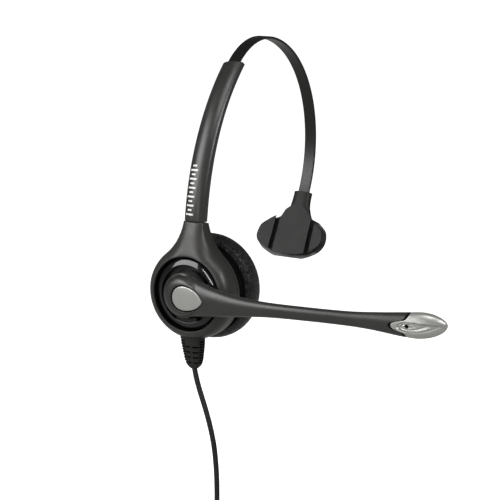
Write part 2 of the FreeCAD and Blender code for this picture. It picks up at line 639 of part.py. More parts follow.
def make_cushion():
    """Ring cushion, round in section, hollowed behind for the speaker cup."""
    section = [
        V(CUSHION_HOLE_R, -8.9, 0), V(CUSHION_HOLE_R, -4.0, 0), V(14.0, -0.9, 0), V(18.5, 0, 0),
        V(23.2, -1.6, 0), V(CUSHION_R, -7.0, 0), V(24.4, -12.4, 0), V(22.4, CUSHION_BACK, 0),
        V(18.7, CUSHION_BACK, 0), V(18.7, -8.9, 0),
    ]
    edges = [
        Part.makeLine(section[0], section[1]),
        Part.Arc(section[1], section[2], section[3]).toShape(),
        Part.Arc(section[3], section[4], section[5]).toShape(),
        Part.Arc(section[5], section[6], section[7]).toShape(),
        Part.makeLine(section[7], section[8]),
        Part.makeLine(section[8], section[9]),
        Part.makeLine(section[9], section[0]),
    ]
    cushion = Part.Face(Part.Wire(edges)).revolve(V(0, 0, 0), V(0, 1, 0), 360)
    ring = turned([(18.6, -14.85), (22.8, -14.85), (22.8, CUSHION_BACK - 0.02), (18.6, CUSHION_BACK - 0.02)])
    return cushion, ring


# ================================================================ strain relief

def oval_wire(half_x, half_y, z, x):
    """Ellipse across the cord at a height, centred at x."""
    shape = Part.Ellipse(V(half_x, 0, 0), V(0, half_y, 0), V(0, 0, 0)).toShape()
    wire = Part.Wire([shape])
    wire.translate(V(x, CORD_Y, z))
    return wire


def make_strain_relief():
    """Ribbed oval sleeve that tapers from the cup to the cord."""
    collar = box(-6.5, 6.5, -29.0, -21.7, -24.4, -21.3)
    collar = rounded(collar, 1.6, lambda b: b.ZLength > 2 and b.XLength < 0.1)
    collar = collar.fuse(box(-3.9, 3.9, -27.5, -22.5, -21.5, -18.6))
    neck = Part.makeLoft([oval_wire(4.9, 3.2, -24.4, 0.0), oval_wire(3.4, 2.6, -34.8, RELIEF_END_X)], True)
    relief = collar.fuse(neck)
    end_cap = Part.makeCone(1.9, 3.6, 3.4, V(RELIEF_END_X, CORD_Y, RELIEF_BOTTOM), V(0, 0, 1))
    relief = relief.fuse(end_cap)
    for number in range(RIBS):
        top = -25.0 - number * RIB_PITCH
        share = number / (RIBS - 1)
        lean = RELIEF_END_X * share
        rib = Part.makeLoft([
            oval_wire(6.3 - 1.8 * share, 4.2 - 0.9 * share, top, lean),
            oval_wire(6.1 - 1.8 * share, 4.1 - 0.9 * share, top - RIB_THICK, lean),
        ], True)
        relief = relief.fuse(rib)
    bore = Part.makeCylinder(CORD_R, 30, V(RELIEF_END_X, CORD_Y, RELIEF_BOTTOM - 1), V(0, 0, 1))
    return relief.cut(bore)


def make_cord_inner_end():
    """Straight end of the cord inside the strain relief."""
    low = V(RELIEF_END_X, CORD_Y, RELIEF_BOTTOM)
    return Part.makeCylinder(CORD_R, -18.2 - RELIEF_BOTTOM, low, V(0, 0, 1))


def make_cord_clamp():
    """Crimped saddle that takes the cord's pull inside the cup."""
    plate = box(-1.6, 4.0, -24.2, -23.6, -18.1, -15.6)
    return plate.fuse(box(-1.6, 4.0, -24.2, -22.2, -16.2, -15.6))


# ================================================================ cord

def cord_tube(route, radius, name):
    """Straight runs joined by tangent arcs, as large as the runs allow."""
    edges = []
    start = route[0]
    length = 0.0
    radii = []
    for before, corner, after in zip(route, route[1:], route[2:]):
        into = corner.sub(before)
        out = after.sub(corner)
        shorter = min(into.Length, out.Length)
        turn = into.getAngle(out)
        bend_r = 0.45 * shorter / math.tan(turn / 2)
        radii.append(bend_r)
        cut_back = 0.45 * shorter
        first = corner.sub(V(into).normalize() * cut_back)
        last = corner.add(V(out).normalize() * cut_back)
        inward = (V(out).normalize() - V(into).normalize()).normalize()
        centre = corner.add(inward * (bend_r / math.cos(turn / 2)))
        middle = centre.sub(inward * bend_r)
        edges.append(Part.LineSegment(start, first).toShape())
        edges.append(Part.Arc(first, middle, last).toShape())
        length += edges[-1].Length + edges[-2].Length
        start = last
    edges.append(Part.LineSegment(start, route[-1]).toShape())
    length += edges[-1].Length
    path = Part.Wire(edges)
    direction = route[1].sub(route[0])
    section = Part.Wire([Part.Circle(route[0], direction, radius).toShape()])
    tube = path.makePipeShell([section], True, False)
    expected = math.pi * radius ** 2 * length
    share = tube.Volume / expected
    print(f"{name}: length {length:.1f}, tightest {min(radii):.1f}, volume / expected {share:.4f}")
    return tube


def make_cord_coil():
    """Outer shape of the tied coil: a ring standing in the XZ plane."""
    return Part.makeTorus(COIL_R, COIL_TUBE_R, COIL_CENTRE, V(0, 1, 0))


def make_coil_tie():
    """Strap round the coil's side."""
    at = COIL_CENTRE.add(V(COIL_R, 0, 0))
    strap = Part.makeCylinder(COIL_TUBE_R + 1.0, TIE_WIDTH, at.sub(V(0, 0, TIE_WIDTH / 2)), V(0, 0, 1))
    return strap.cut(make_cord_coil())


# ================================================================ quick-disconnect plug

def make_plug():
    """Boot, two shell halves, contact carrier and contacts of the plug."""
    x, y, top = PLUG_CENTRE.x, PLUG_CENTRE.y, PLUG_CENTRE.z
    boot = Part.makeCone(3.4, 2.2, 12, V(x, y, top - 12), V(0, 0, 1))
    boot = boot.cut(Part.makeCylinder(CORD_R, 14, V(x, y, top - 13), V(0, 0, 1)))
    for number in range(3):
        groove = Part.makeCylinder(5, 1.0, V(x, y, top - 3.4 - number * 2.8), V(0, 0, 1))
        core = Part.makeCylinder(1.9 + 0.25 * number, 1.0, V(x, y, top - 3.4 - number * 2.8), V(0, 0, 1))
        boot = boot.cut(groove.cut(core))
    body = box(x - 7.5, x + 7.5, y - 4.2, y + 4.2, top - 44, top - 12)
    body = rounded(body, 3.0, lambda b: b.ZLength > 30)
    body = rounded(body, 1.2, lambda b: b.ZLength < 0.1)
    hollow = box(x - 5.6, x + 5.6, y - 2.6, y + 2.6, top - 45, top - 14)
    body = body.cut(hollow)
    for number in range(4):
        grip_low = top - 24 - number * 2.4
        for side in (-1, 1):
            face_y = y + side * 4.2
            grip = box(x - 5, x + 5, face_y - 0.35, face_y + 0.35, grip_low, grip_low + 1)
            body = body.cut(grip)
    front = body.common(box(x - 20, x + 20, y - 20, y, top - 60, top))
    back = body.common(box(x - 20, x + 20, y, y + 20, top - 60, top))
    carrier = box(x - 5.55, x + 5.55, y - 0.9, y + 2.55, top - 43, top - 26)
    contacts = []
    for number in range(4):
        at = x - 4.2 + 2.8 * number
        blade = box(at - 0.5, at + 0.5, y - 1.2, y - 0.9, top - 42, top - 27)
        contacts.append(blade)
    return boot, front, back, carrier, Part.makeCompound(contacts)


# ================================================================ build

save("ear_housing", make_ear_housing())
save("housing_back", make_housing_back())
save("housing_screws", make_housing_screws())
save("circuit_board", make_circuit_board())
save("turret_ring", make_turret_ring())
save("wave_washer", make_wave_washer())
save("hub_clip", make_hub_clip())

boom_outer, boom_inner = make_boom_shells()
save("boom_outer", boom_outer)
save("boom_inner", boom_inner)
save("boom_inlay", inlay_solid().common(box(-20, 20, BOOM_MID - 3.1, 0, -20, 20)))
save("mic_wires", wire_channel(0.7, 0.6))
save("mic_cap", make_mic_cap())
mic_grille, mic_capsule, mic_boot = make_mic_pieces()
save("mic_grille", mic_grille)
save("mic_capsule", mic_capsule)
save("mic_boot", mic_boot)

sleeve_outer, sleeve_liner, detent_leaf = make_sleeve()
save("sleeve_outer", sleeve_outer)
save("sleeve_liner", sleeve_liner)
save("detent_leaf", detent_leaf)
headband, band_end, band_heading = make_headband()
save("headband", headband)
band_stop, stop_rivet = make_band_stop()
save("band_stop", band_stop)
save("stop_rivet", stop_rivet)

temple_pad, pad_plate, pad_back, pad_pin = make_temple_pad(band_end, band_heading)
save("temple_pad", temple_pad)
save("pad_plate", pad_plate)
save("pad_back", pad_back)
save("pad_pin", pad_pin)
print("band end", band_end, "heading", band_heading)

speaker_cup, driver_frame, driver_magnet, driver_cone, speaker_grille, grille_cloth = make_capsule()
save("speaker_cup", speaker_cup)
save("driver_frame", driver_frame)
save("driver_magnet", driver_magnet)
save("driver_cone", driver_cone)
save("speaker_grille", speaker_grille)
save("grille_cloth", grille_cloth)
ear_cushion, cushion_ring = make_cushion()
save("ear_cushion", ear_cushion)
save("cushion_ring", cushion_ring)
save("pivot_pin", Part.makeCylinder(PIVOT_PIN_R, 12.8, V(-6.4, PIVOT_Y, 0), V(1, 0, 0)))

save("strain_relief", make_strain_relief())
save("cord_inner_end", make_cord_inner_end())
save("cord_clamp", make_cord_clamp())
save("cord", cord_tube(CORD_ROUTE, CORD_R, "cord"))
save("cord_coil", make_cord_coil())
save("coil_tie", make_coil_tie())
save("cord_tail", cord_tube(TAIL_ROUTE, CORD_R, "cord_tail"))
plug_boot, plug_shell_front, plug_shell_back, plug_carrier, plug_contacts = make_plug()
save("plug_boot", plug_boot)
save("plug_shell_front", plug_shell_front)
save("plug_shell_back", plug_shell_back)
save("plug_carrier", plug_carrier)
save("plug_contacts", plug_contacts)
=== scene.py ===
import math
import random

import bmesh
import bpy
from mathutils import Matrix, Vector


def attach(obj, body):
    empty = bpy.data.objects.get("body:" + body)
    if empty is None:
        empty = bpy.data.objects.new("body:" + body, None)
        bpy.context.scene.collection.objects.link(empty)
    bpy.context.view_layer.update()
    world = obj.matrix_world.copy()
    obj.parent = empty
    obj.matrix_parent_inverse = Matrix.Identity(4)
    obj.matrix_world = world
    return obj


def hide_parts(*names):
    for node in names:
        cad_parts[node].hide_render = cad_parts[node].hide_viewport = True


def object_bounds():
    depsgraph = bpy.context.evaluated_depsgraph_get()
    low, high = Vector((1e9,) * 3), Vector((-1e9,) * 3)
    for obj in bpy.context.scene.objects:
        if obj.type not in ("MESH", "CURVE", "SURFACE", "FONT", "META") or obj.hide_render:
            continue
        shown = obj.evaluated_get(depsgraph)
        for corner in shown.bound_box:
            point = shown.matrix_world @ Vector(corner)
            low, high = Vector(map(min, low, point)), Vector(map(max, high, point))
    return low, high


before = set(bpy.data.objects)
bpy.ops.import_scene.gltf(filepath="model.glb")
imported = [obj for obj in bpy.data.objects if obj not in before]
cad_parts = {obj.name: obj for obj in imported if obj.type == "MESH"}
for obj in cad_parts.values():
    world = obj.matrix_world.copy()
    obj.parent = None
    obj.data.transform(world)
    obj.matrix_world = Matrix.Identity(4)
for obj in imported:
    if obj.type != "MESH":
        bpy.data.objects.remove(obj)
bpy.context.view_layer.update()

# Office headset, in metres, in the part's frame: origin at the ear cushion's
# contact face, +X forward along the boom, +Y across the head, +Z up.
MM = 0.001
random.seed(7)


def mm(x, y, z):
    """A point given in millimetres."""
    return Vector((x * MM, y * MM, z * MM))


# ================================================================ camera

AZIMUTH, ELEVATION, ROLL = math.radians(29.67), math.radians(12.04), math.radians(0.86)
CAMERA_TARGET = mm(-8.75, 45.0, 7.08)
CAMERA_DISTANCE = 829.8 * MM
SENSOR_WIDTH, LENS = 36, 115.2


def make_camera():
    """The photograph's viewing angle: from the front right, a little above."""
    right = Vector((math.cos(AZIMUTH), math.sin(AZIMUTH), 0))
    back = Vector((
        math.sin(AZIMUTH) * math.cos(ELEVATION),
        -math.cos(AZIMUTH) * math.cos(ELEVATION),
        math.sin(ELEVATION),
    ))
    up = back.cross(right)
    tilted_right = right * math.cos(ROLL) + up * math.sin(ROLL)
    tilted_up = back.cross(tilted_right)
    data = bpy.data.cameras.new("camera")
    data.sensor_width, data.lens = SENSOR_WIDTH, LENS
    camera = bpy.data.objects.new("camera", data)
    bpy.context.scene.collection.objects.link(camera)
    axes = Matrix((tilted_right, tilted_up, back)).transposed()
    camera.matrix_world = Matrix.Translation(CAMERA_TARGET + back * CAMERA_DISTANCE) @ axes.to_4x4()
    bpy.context.scene.camera = camera


make_camera()

# ================================================================ materials


def new_material(name):
    """An empty node material and a helper that adds nodes to it."""
    material = bpy.data.materials.new(name)
    material.use_nodes = True
    tree = material.node_tree
    shader = tree.nodes["Principled BSDF"]

    def add(kind, **settings):
        node = tree.nodes.new(kind)
        for key, value in settings.items():
            if key in node.inputs:
                node.inputs[key].default_value = value
            else:
                setattr(node, key, value)
        return node

    return material, shader, add, tree.links.new


def mapped_noise(add, link, scale, detail=4.0, stretch=(1, 1, 1), rough=0.55):
    """Noise in object space, which is the part's own frame in metres."""
    place = add("ShaderNodeTexCoord")
    sizing = add("ShaderNodeMapping")
    sizing.inputs["Scale"].default_value = stretch
    noise = add("ShaderNodeTexNoise", Scale=scale, Detail=detail, Roughness=rough)
    link(place.outputs["Object"], sizing.inputs["Vector"])
    link(sizing.outputs["Vector"], noise.inputs["Vector"])
    return noise.outputs["Fac"]


def ramp(add, link, value, low, high, low_at=0.3, high_at=0.7):
    """Maps a value smoothly between two numbers or two colours."""
    node = add("ShaderNodeValToRGB")
    stops = node.color_ramp.elements
    stops[0].position, stops[1].position = low_at, high_at
    stops[0].color = (*low, 1) if hasattr(low, "__len__") else (low, low, low, 1)
    stops[1].color = (*high, 1) if hasattr(high, "__len__") else (high, high, high, 1)
    link(value, node.inputs["Fac"])
    return node.outputs["Color"]


def bumped(add, link, shader, heights):
    """Chains bumps of (height socket, strength, depth in metres)."""
    normal = None
    for height, strength, depth in heights:
        bump = add("ShaderNodeBump", Strength=strength, Distance=depth)
        link(height, bump.inputs["Height"])
        if normal is not None:
            link(normal, bump.inputs["Normal"])
        normal = bump.outputs["Normal"]
    link(normal, shader.inputs["Normal"])


def noisy(name, noises, colour, rough, bumps, inputs):
    """A material whose colour, roughness and bumps follow named noises.

    noises gives each one's scale, detail, stretch and roughness; colour and rough are
    (noise, low, high, and the places of both); bumps are (noise, strength, depth).
    """
    material, shader, add, link = new_material(name)
    made = {key: mapped_noise(add, link, *settings) for key, settings in noises.items()}
    for socket, settings in (("Base Color", colour), ("Roughness", rough)):
        if settings:
            key, *rest = settings
            link(ramp(add, link, made[key], *rest), shader.inputs[socket])
    bumped(add, link, shader, [(made[key], strength, depth) for key, strength, depth in bumps])
    for socket, value in inputs.items():
        shader.inputs[socket].default_value = value
    return material


def moulded_plastic(name, dark, light, rough, grain_scale=3200, grain=0.12, specular=0.4):
    """Moulded plastic: spark-eroded grain, faint colour drift, soft wear."""
    noises = {"drift": (60, 3), "smudge": (130, 5), "fine": (grain_scale, 2), "wide": (240, 2)}
    return noisy(name, noises, ("drift", dark, light), ("smudge", rough * 0.86, rough * 1.12),
                 (("wide", 0.04, 0.0004), ("fine", grain, 0.00006)), {"Specular IOR Level": specular})


def polished_plastic(name, colour):
    """Gloss black with fine hairline scratches."""
    noises = {"hair": (900, 6, (1, 1, 14), 0.7), "wave": (90, 2)}
    inputs = {"Base Color": (*colour, 1), "Specular IOR Level": 0.42, "Coat Weight": 0.12,
              "Coat Roughness": 0.05}
    return noisy(name, noises, None, ("hair", 0.07, 0.2, 0.45, 0.8),
                 (("wave", 0.05, 0.0003), ("hair", 0.03, 0.00003)), inputs)


def silver_paint(name):
    """Satin silver paint: fine flake, slight warm cast."""
    return noisy(name, {"flake": (5200, 2), "cloud": (160, 3)},
                 ("flake", (0.36, 0.36, 0.345), (0.46, 0.46, 0.44), 0.25, 0.75), ("cloud", 0.30, 0.38),
                 (("flake", 0.08, 0.00003),), {"Metallic": 0.6})


def coated_steel(name):
    """Black coated spring steel with a drawn grain along the strip."""
    return noisy(name, {"drawn": (700, 5, (9, 0.5, 0.5), 0.65), "fine": (4200, 2)},
                 ("drawn", (0.008, 0.008, 0.0077), (0.014, 0.0137, 0.013)), ("drawn", 0.30, 0.44),
                 (("drawn", 0.10, 0.00004), ("fine", 0.08, 0.00003)), {"Metallic": 0.35})


def moulded_rubber(name, dark, light, rough=0.5, specular=0.25):
    """Soft-touch rubber: even, powdery, with faint flow marks."""
    return noisy(name, {"flow": (95, 4), "dust": (2600, 3)}, ("flow", dark, light),
                 ("dust", rough, rough * 1.3), (("dust", 0.16, 0.00005), ("flow", 0.05, 0.0003)),
                 {"Specular IOR Level": specular})


def bright_metal(name, colour, rough=0.32):
    """Plain turned or stamped metal with fine machining lines."""
    dim = tuple(c * 0.75 for c in colour)
    return noisy(name, {"lines": (1500, 4, (1, 6, 1))}, ("lines", dim, colour),
                 ("lines", rough * 0.8, rough * 1.2), (("lines", 0.1, 0.00003),), {"Metallic": 1.0})


def leatherette(name):
    """Creased imitation leather: cell grain, long creases, polished high spots."""
    material, shader, add, link = new_material(name)
    place = add("ShaderNodeTexCoord")
    warp = add("ShaderNodeTexNoise", Scale=420, Detail=3.0)
    link(place.outputs["Object"], warp.inputs["Vector"])
    mixed = add("ShaderNodeMixRGB", Fac=0.006)
    mixed.blend_type = "ADD"
    link(place.outputs["Object"], mixed.inputs["Color1"])
    link(warp.outputs["Color"], mixed.inputs["Color2"])
    cells = add("ShaderNodeTexVoronoi", Scale=1150)
    cells.feature = "DISTANCE_TO_EDGE"
    link(mixed.outputs["Color"], cells.inputs["Vector"])
    pits = add("ShaderNodeTexVoronoi", Scale=480)
    pits.feature = "DISTANCE_TO_EDGE"
    link(mixed.outputs["Color"], pits.inputs["Vector"])
    tops = ramp(add, link, cells.outputs["Distance"], 0.0, 1.0, 0.02, 0.22)
    folds = ramp(add, link, pits.outputs["Distance"], 0.0, 1.0, 0.0, 0.09)
    tone = mapped_noise(add, link, 300, 5)
    black = ramp(add, link, tone, (0.006, 0.006, 0.0057), (0.015, 0.0147, 0.014))
    link(black, shader.inputs["Base Color"])
    link(ramp(add, link, cells.outputs["Distance"], 0.45, 0.16, 0.0, 0.25), shader.inputs["Roughness"])
    bumped(add, link, shader, [(folds, 1.0, 0.00034), (tops, 1.0, 0.0002), (tone, 0.5, 0.0005)])
    return material


def acoustic_cloth(name):
    """Fine plain weave in the XZ plane."""
    material, shader, add, link = new_material(name)
    place = add("ShaderNodeTexCoord")
    warp = add("ShaderNodeTexWave", Scale=1400, Distortion=0.4, Detail=1.0)
    warp.bands_direction = "X"
    weft = add("ShaderNodeTexWave", Scale=1400, Distortion=0.4, Detail=1.0)
    weft.bands_direction = "Z"
    link(place.outputs["Object"], warp.inputs["Vector"])
    link(place.outputs["Object"], weft.inputs["Vector"])
    both = add("ShaderNodeMath")
    both.operation = "MAXIMUM"
    link(warp.outputs["Fac"], both.inputs[0])
    link(weft.outputs["Fac"], both.inputs[1])
    threads = ramp(add, link, both.outputs["Value"], (0.004, 0.004, 0.004), (0.03, 0.03, 0.03))
    link(threads, shader.inputs["Base Color"])
    shader.inputs["Roughness"].default_value = 0.9
    bumped(add, link, shader, [(both.outputs["Value"], 0.6, 0.0001)])
    return material


def printed_board(name):
    """Green solder mask with a faint copper pattern under it."""
    material, shader, add, link = new_material(name)
    tracks = add("ShaderNodeTexBrick", Scale=260)
    place = add("ShaderNodeTexCoord")
    link(place.outputs["Object"], tracks.inputs["Vector"])
    tracks.inputs["Color1"].default_value = (0.012, 0.075, 0.03, 1)
    tracks.inputs["Color2"].default_value = (0.016, 0.09, 0.035, 1)
    tracks.inputs["Mortar"].default_value = (0.04, 0.16, 0.06, 1)
    link(tracks.outputs["Color"], shader.inputs["Base Color"])
    link(ramp(add, link, mapped_noise(add, link, 700), 0.25, 0.4), shader.inputs["Roughness"])
    return material


MAT = {
    "satin": moulded_plastic(
        "satin_plastic", (0.026, 0.0254, 0.0238), (0.034, 0.0333, 0.0315), 0.37, specular=0.36),
    "sleeve": moulded_plastic(
        "sleeve_plastic", (0.020, 0.020, 0.0192), (0.027, 0.0267, 0.0255), 0.33, grain=0.06, specular=0.5),
    "print": moulded_plastic(
        "printed_white", (0.72, 0.72, 0.70), (0.82, 0.82, 0.80), 0.5, grain_scale=2600, grain=0.2),
    "boom": moulded_plastic(
        "boom_plastic", (0.020, 0.0196, 0.0184), (0.027, 0.0265, 0.025), 0.34, grain=0.08, specular=0.55),
    # near-black matt plastic for black parts; also used for sheets of painted shade in the recess, the
    # inlay's gap and the relief's slots
    "matt": moulded_plastic(
        "matt_black_and_painted_shade", (0.003, 0.003, 0.003), (0.006, 0.006, 0.0057), 0.62, grain=0.1, specular=0.06),
    "gloss": polished_plastic("gloss_black", (0.006, 0.006, 0.006)),
    "silver": silver_paint("silver_paint"),
    "strip": coated_steel("coated_strip"),
    "leather": leatherette("leatherette"),
    "pad": moulded_rubber("pad_rubber", (0.012, 0.0118, 0.0114), (0.018, 0.0177, 0.017), 0.42, 0.2),
    "rubber": moulded_rubber("relief_rubber", (0.012, 0.0118, 0.0114), (0.018, 0.0177, 0.017)),
    "jacket": moulded_rubber("cord_jacket", (0.010, 0.010, 0.010), (0.018, 0.018, 0.017)),
    "cloth": acoustic_cloth("acoustic_cloth"),
    "steel": bright_metal("plain_steel", (0.6, 0.6, 0.6)),
    "gold": bright_metal("gold_flash", (0.8, 0.6, 0.28), 0.25),
    "board": printed_board("solder_mask"),
    "cone": moulded_plastic("cone_film", (0.20, 0.20, 0.19), (0.26, 0.26, 0.25), 0.35),
}

# ================================================================ mesh helpers


def link_mesh(name, points, faces, material, smooth=True):
    """A mesh object from points in millimetres."""
    mesh = bpy.data.meshes.new(name)
    mesh.from_pydata([Vector(p) * MM for p in points], [], faces)
    mesh.validate()
    piece = bpy.data.objects.new(name, mesh)
    bpy.context.scene.collection.objects.link(piece)
    mesh.materials.append(material)
    if smooth:
        mesh.polygons.foreach_set("use_smooth", [True] * len(mesh.polygons))
    return piece


def outward(piece):
    """Turns every face to the outside."""
    work = bmesh.new()
    work.from_mesh(piece.data)
    bmesh.ops.recalc_face_normals(work, faces=work.faces)
    work.to_mesh(piece.data)
    work.free()
    return piece


def settle(piece, body, slot_name, *nodes):
    """Rides on a body and stands for CAD nodes; its slot_name is not used."""
    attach(piece, body)
    if nodes:
        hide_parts(*nodes)
    return piece


def rings(name, loops, material, close_start=True, close_end=True):
    """Skins a row of closed loops that all have the same number of points."""
    points = [p for loop in loops for p in loop]
    count = len(loops[0])
    faces = []
    for row in range(len(loops) - 1):
        for k in range(count):
            a = row * count + k
            b = row * count + (k + 1) % count
            faces.append((a, b, b + count, a + count))
    if close_start:
        faces.append(tuple(range(count)))
    if close_end:
        last = (len(loops) - 1) * count
        faces.append(tuple(range(last + count - 1, last - 1, -1)))
    return outward(link_mesh(name, points, faces, material))


def apply_modifiers(piece):
    """Bakes a piece's modifiers into its mesh."""
    shown = piece.evaluated_get(bpy.context.evaluated_depsgraph_get())
    baked = bpy.data.meshes.new_from_object(shown)
    piece.modifiers.clear()
    old = piece.data
    piece.data = baked
    bpy.data.meshes.remove(old)
    return piece


# ================================================================ curves and surfaces


def clamp(value):
    return min(max(value, 0.0), 1.0)


def ease(value, low, high):
    """Smooth step from 0 at low to 1 at high."""
    share = clamp((value - low) / (high - low))
    return share * share * (3 - 2 * share)


def mix(first, second, share):
    return first + (second - first) * share


def rounding(share, power=2.0):
    """Height of a rounded shoulder: 0 at its foot, 1 from its top on."""
    return (1 - (1 - clamp(share)) ** power) ** (1 / power)


def crown(u, power=2.2):
    """Height of a crowned section at u, from -1 to 1 across it."""
    return (1 - min(abs(u), 1.0) ** power) ** (1 / power)


def soft_max(a, b, reach):
    """The larger of two heights, with a fillet where they meet."""
    near = max(reach - abs(a - b), 0) / reach
    return max(a, b) + reach * near * near / 4


def through(points, x):
    """A smooth line through (x, value) points."""
    if x <= points[0][0]:
        return points[0][1]
    if x >= points[-1][0]:
        return points[-1][1]
    slopes = []
    for k in range(len(points)):
        before, after = points[max(k - 1, 0)], points[min(k + 1, len(points) - 1)]
        slopes.append((after[1] - before[1]) / (after[0] - before[0]))
    for k in range(len(points) - 1):
        (x0, v0), (x1, v1) = points[k], points[k + 1]
        if x <= x1:
            width = x1 - x0
            t = (x - x0) / width
            return (
                v0 * (1 + 2 * t) * (1 - t) ** 2
                + v1 * t * t * (3 - 2 * t)
                + width * (slopes[k] * t * (1 - t) ** 2 - slopes[k + 1] * t * t * (1 - t))
            )


def even(count, low=0.0, high=1.0):
    """count + 1 evenly spaced values."""
    return [low + (high - low) * k / count for k in range(count + 1)]


def turned(profile, angle):
    """A (radius, y) profile turned by an angle about the cup's axis."""
    return [(r * math.cos(angle), y, r * math.sin(angle)) for r, y in profile]


def lathe(name, profile, material, steps=180):
    """A ring about the cup's axis from a closed (radius, y) profile."""
    loops = [turned(profile, 2 * math.pi * k / steps) for k in range(steps)]
    return hoop(name, loops, material)


def hoop(name, loops, material):
    """Closed loops joined one to the next and the last to the first."""
    count = len(loops[0])
    points = [p for loop in loops for p in loop]
    faces = []
    for row in range(len(loops)):
        after = (row + 1) % len(loops)
        for k in range(count):
            step = (k + 1) % count
            faces.append((row * count + k, row * count + step, after * count + step, after * count + k))
    return outward(link_mesh(name, points, faces, material))


def weld(piece, distance=0.002):
    """Merges points that lie on one another, in millimetres."""
    work = bmesh.new()
    work.from_mesh(piece.data)
    bmesh.ops.remove_doubles(work, verts=work.verts, dist=distance * MM)
    bmesh.ops.dissolve_degenerate(work, edges=work.edges, dist=distance * MM)
    bmesh.ops.recalc_face_normals(work, faces=work.faces)
    work.to_mesh(piece.data)
    work.free()
    return crisp(piece)


def crisp(piece, degrees=38):
    """Smooth shading that breaks at sharp edges."""
    piece.data.polygons.foreach_set("use_smooth", [True] * len(piece.data.polygons))
    piece.data.set_sharp_from_angle(angle=math.radians(degrees))
    return piece


def joined(pieces, name):
    """Several meshes as one object, each still closed."""
    mesh = bpy.data.meshes.new(name)
    work = bmesh.new()
    for piece in pieces:
        work.from_mesh(piece.data)
    work.to_mesh(mesh)
    work.free()
    whole = bpy.data.objects.new(name, mesh)
    bpy.context.scene.collection.objects.link(whole)
    mesh.materials.append(pieces[0].data.materials[0])
    for piece in pieces:
        old = piece.data
        bpy.data.objects.remove(piece)
        bpy.data.meshes.remove(old)
    return crisp(whole)


# ================================================================ ear cup

CUP_R, OPENING_R = 23.0, 18.2
SHELL_BACK, RECESS_FLOOR = -21.68, -26.0
NECK_HALF, FLARE_R, NECK_TOP = 4.9, 28.0, 34.1
FLARE_X = NECK_HALF + FLARE_R
FLARE_Z = math.sqrt((CUP_R + FLARE_R) ** 2 - FLARE_X ** 2)
FLARE_LEAN = math.atan2(FLARE_Z, FLARE_X)
SLEEVE_Y, SLEEVE_Z, SLEEVE_R = 90.0, 24.0, 114.5
SLEEVE_FROM, SLEEVE_TO = 5.2, 46.0
# (radius, y) of the matt black wall inside the round opening, painted shade for the dark gap round the
# turret
SHADE_WALL_PROFILE = ((17.6, -26.02), (17.6, -25.6), (18.13, -25.6), (18.13, -31.0), (18.03, -31.0),
                (17.95, -26.02))
# (inset, y) of the shell's back edge, inside the rim
BACK_EDGE = ((0, SHELL_BACK - 0.45), (0.05, SHELL_BACK - 0.15), (0.25, SHELL_BACK), (1.6, SHELL_BACK),
             (1.8, -24.3))
# (radius, y) from the hub's hole to the opening's lip
INSIDE = ((7.5, -24.6), (7.5, RECESS_FLOOR), (OPENING_R - 0.3, RECESS_FLOOR), (OPENING_R - 0.05, -28.5))
NECK_ROUND, NECK_SINK = 0.6, 0.35


def pear_outline():
    """Cup outline: down one side from the neck's cut top, round the bowl and up again."""
    cut = math.asin((FLARE_Z - NECK_TOP) / FLARE_R)
    right = []
    for angle in even(26, cut, FLARE_LEAN):
        right.append((FLARE_X - FLARE_R * math.cos(angle), FLARE_Z - FLARE_R * math.sin(angle)))
    bowl = []
    for angle in even(128, FLARE_LEAN, -math.pi - FLARE_LEAN)[1:-1]:
        bowl.append((CUP_R * math.cos(angle), CUP_R * math.sin(angle)))
    left = [(-x, z) for x, z in reversed(right)]
    top = [(x, NECK_TOP) for x in even(14, left[-1][0], right[0][0])[1:-1]]
    return right + bowl + left + top


def inside_pear(x, z):
    """Distance from a point to the cup's outline, the neck's cut top left out."""
    if z > 0 and math.atan2(z, abs(x)) > FLARE_LEAN:
        return math.hypot(abs(x) - FLARE_X, z - FLARE_Z) - FLARE_R
    return CUP_R - math.hypot(x, z)


def housing_front(x, z):
    """The front face: one rounded surface from the bowl's rim up into the thinning neck."""
    crest = 31.7 - 5.0 * (max(z - 17, 0) / 16.5) ** 1.2
    edge = mix(24.0, 24.9, ease(z, 20, 33))
    width = mix(5.4, 7.4, ease(z, 4, 20)) - 2.0 * ease(z, 22, 33)
    return -(edge + (crest - edge) * rounding(inside_pear(x, z) / width, 2.2))


def make_housing():
    """Front shell with its round opening, lip and rounded neck."""
    loops = []
    for x, z in pear_outline():
        rim = math.hypot(x, z)
        way = Vector((x / rim, z / rim))
        loop = [(way.x * r, y, way.y * r) for r, y in INSIDE]
        for r, sink in ((18.2, 0.5), (18.26, 0.2), (18.42, 0.04)):
            spot = way * r
            loop.append((spot.x, housing_front(*spot) + sink, spot.y))
        for share in even(24):
            spot = way * mix(18.65, rim, 1 - (1 - share) ** 1.5)
            y = housing_front(*spot)
            if spot.y > NECK_TOP - NECK_ROUND:
                y += NECK_SINK * (1 - rounding((NECK_TOP - spot.y) / NECK_ROUND))
            loop.append((spot.x, y, spot.y))
        for inset, y in BACK_EDGE:
            loop.append((way.x * (rim - inset), y, way.y * (rim - inset)))
        loops.append([tilt_neck_top(p) for p in loop])
    housing = hoop("ear_shell", loops, MAT["satin"])
    # matt black lining on the opening's wall: painted shade that darkens the gap round the turret ring
    wall = lathe("recess_wall_shade", SHADE_WALL_PROFILE, MAT["matt"])
    settle(crisp(wall), "ear_side", "satin_plastic")
    return settle(crisp(housing, 50), "ear_side", "satin_plastic", "ear_housing")


def tilt_neck_top(point):
    """Leans the neck's top face to lie against the sleeve's end."""
    x, y, z = point
    face = SLEEVE_Z + (SLEEVE_Y - y) * math.tan(math.radians(SLEEVE_FROM)) - 0.16
    return (x, y, z + (face - NECK_TOP) * ease(z, 30.5, NECK_TOP))


# ================================================================ turret

MOAT_FLOOR, LAND_TOP = -28.2, -30.55
LAND_FROM, LAND_TO = 245, 295


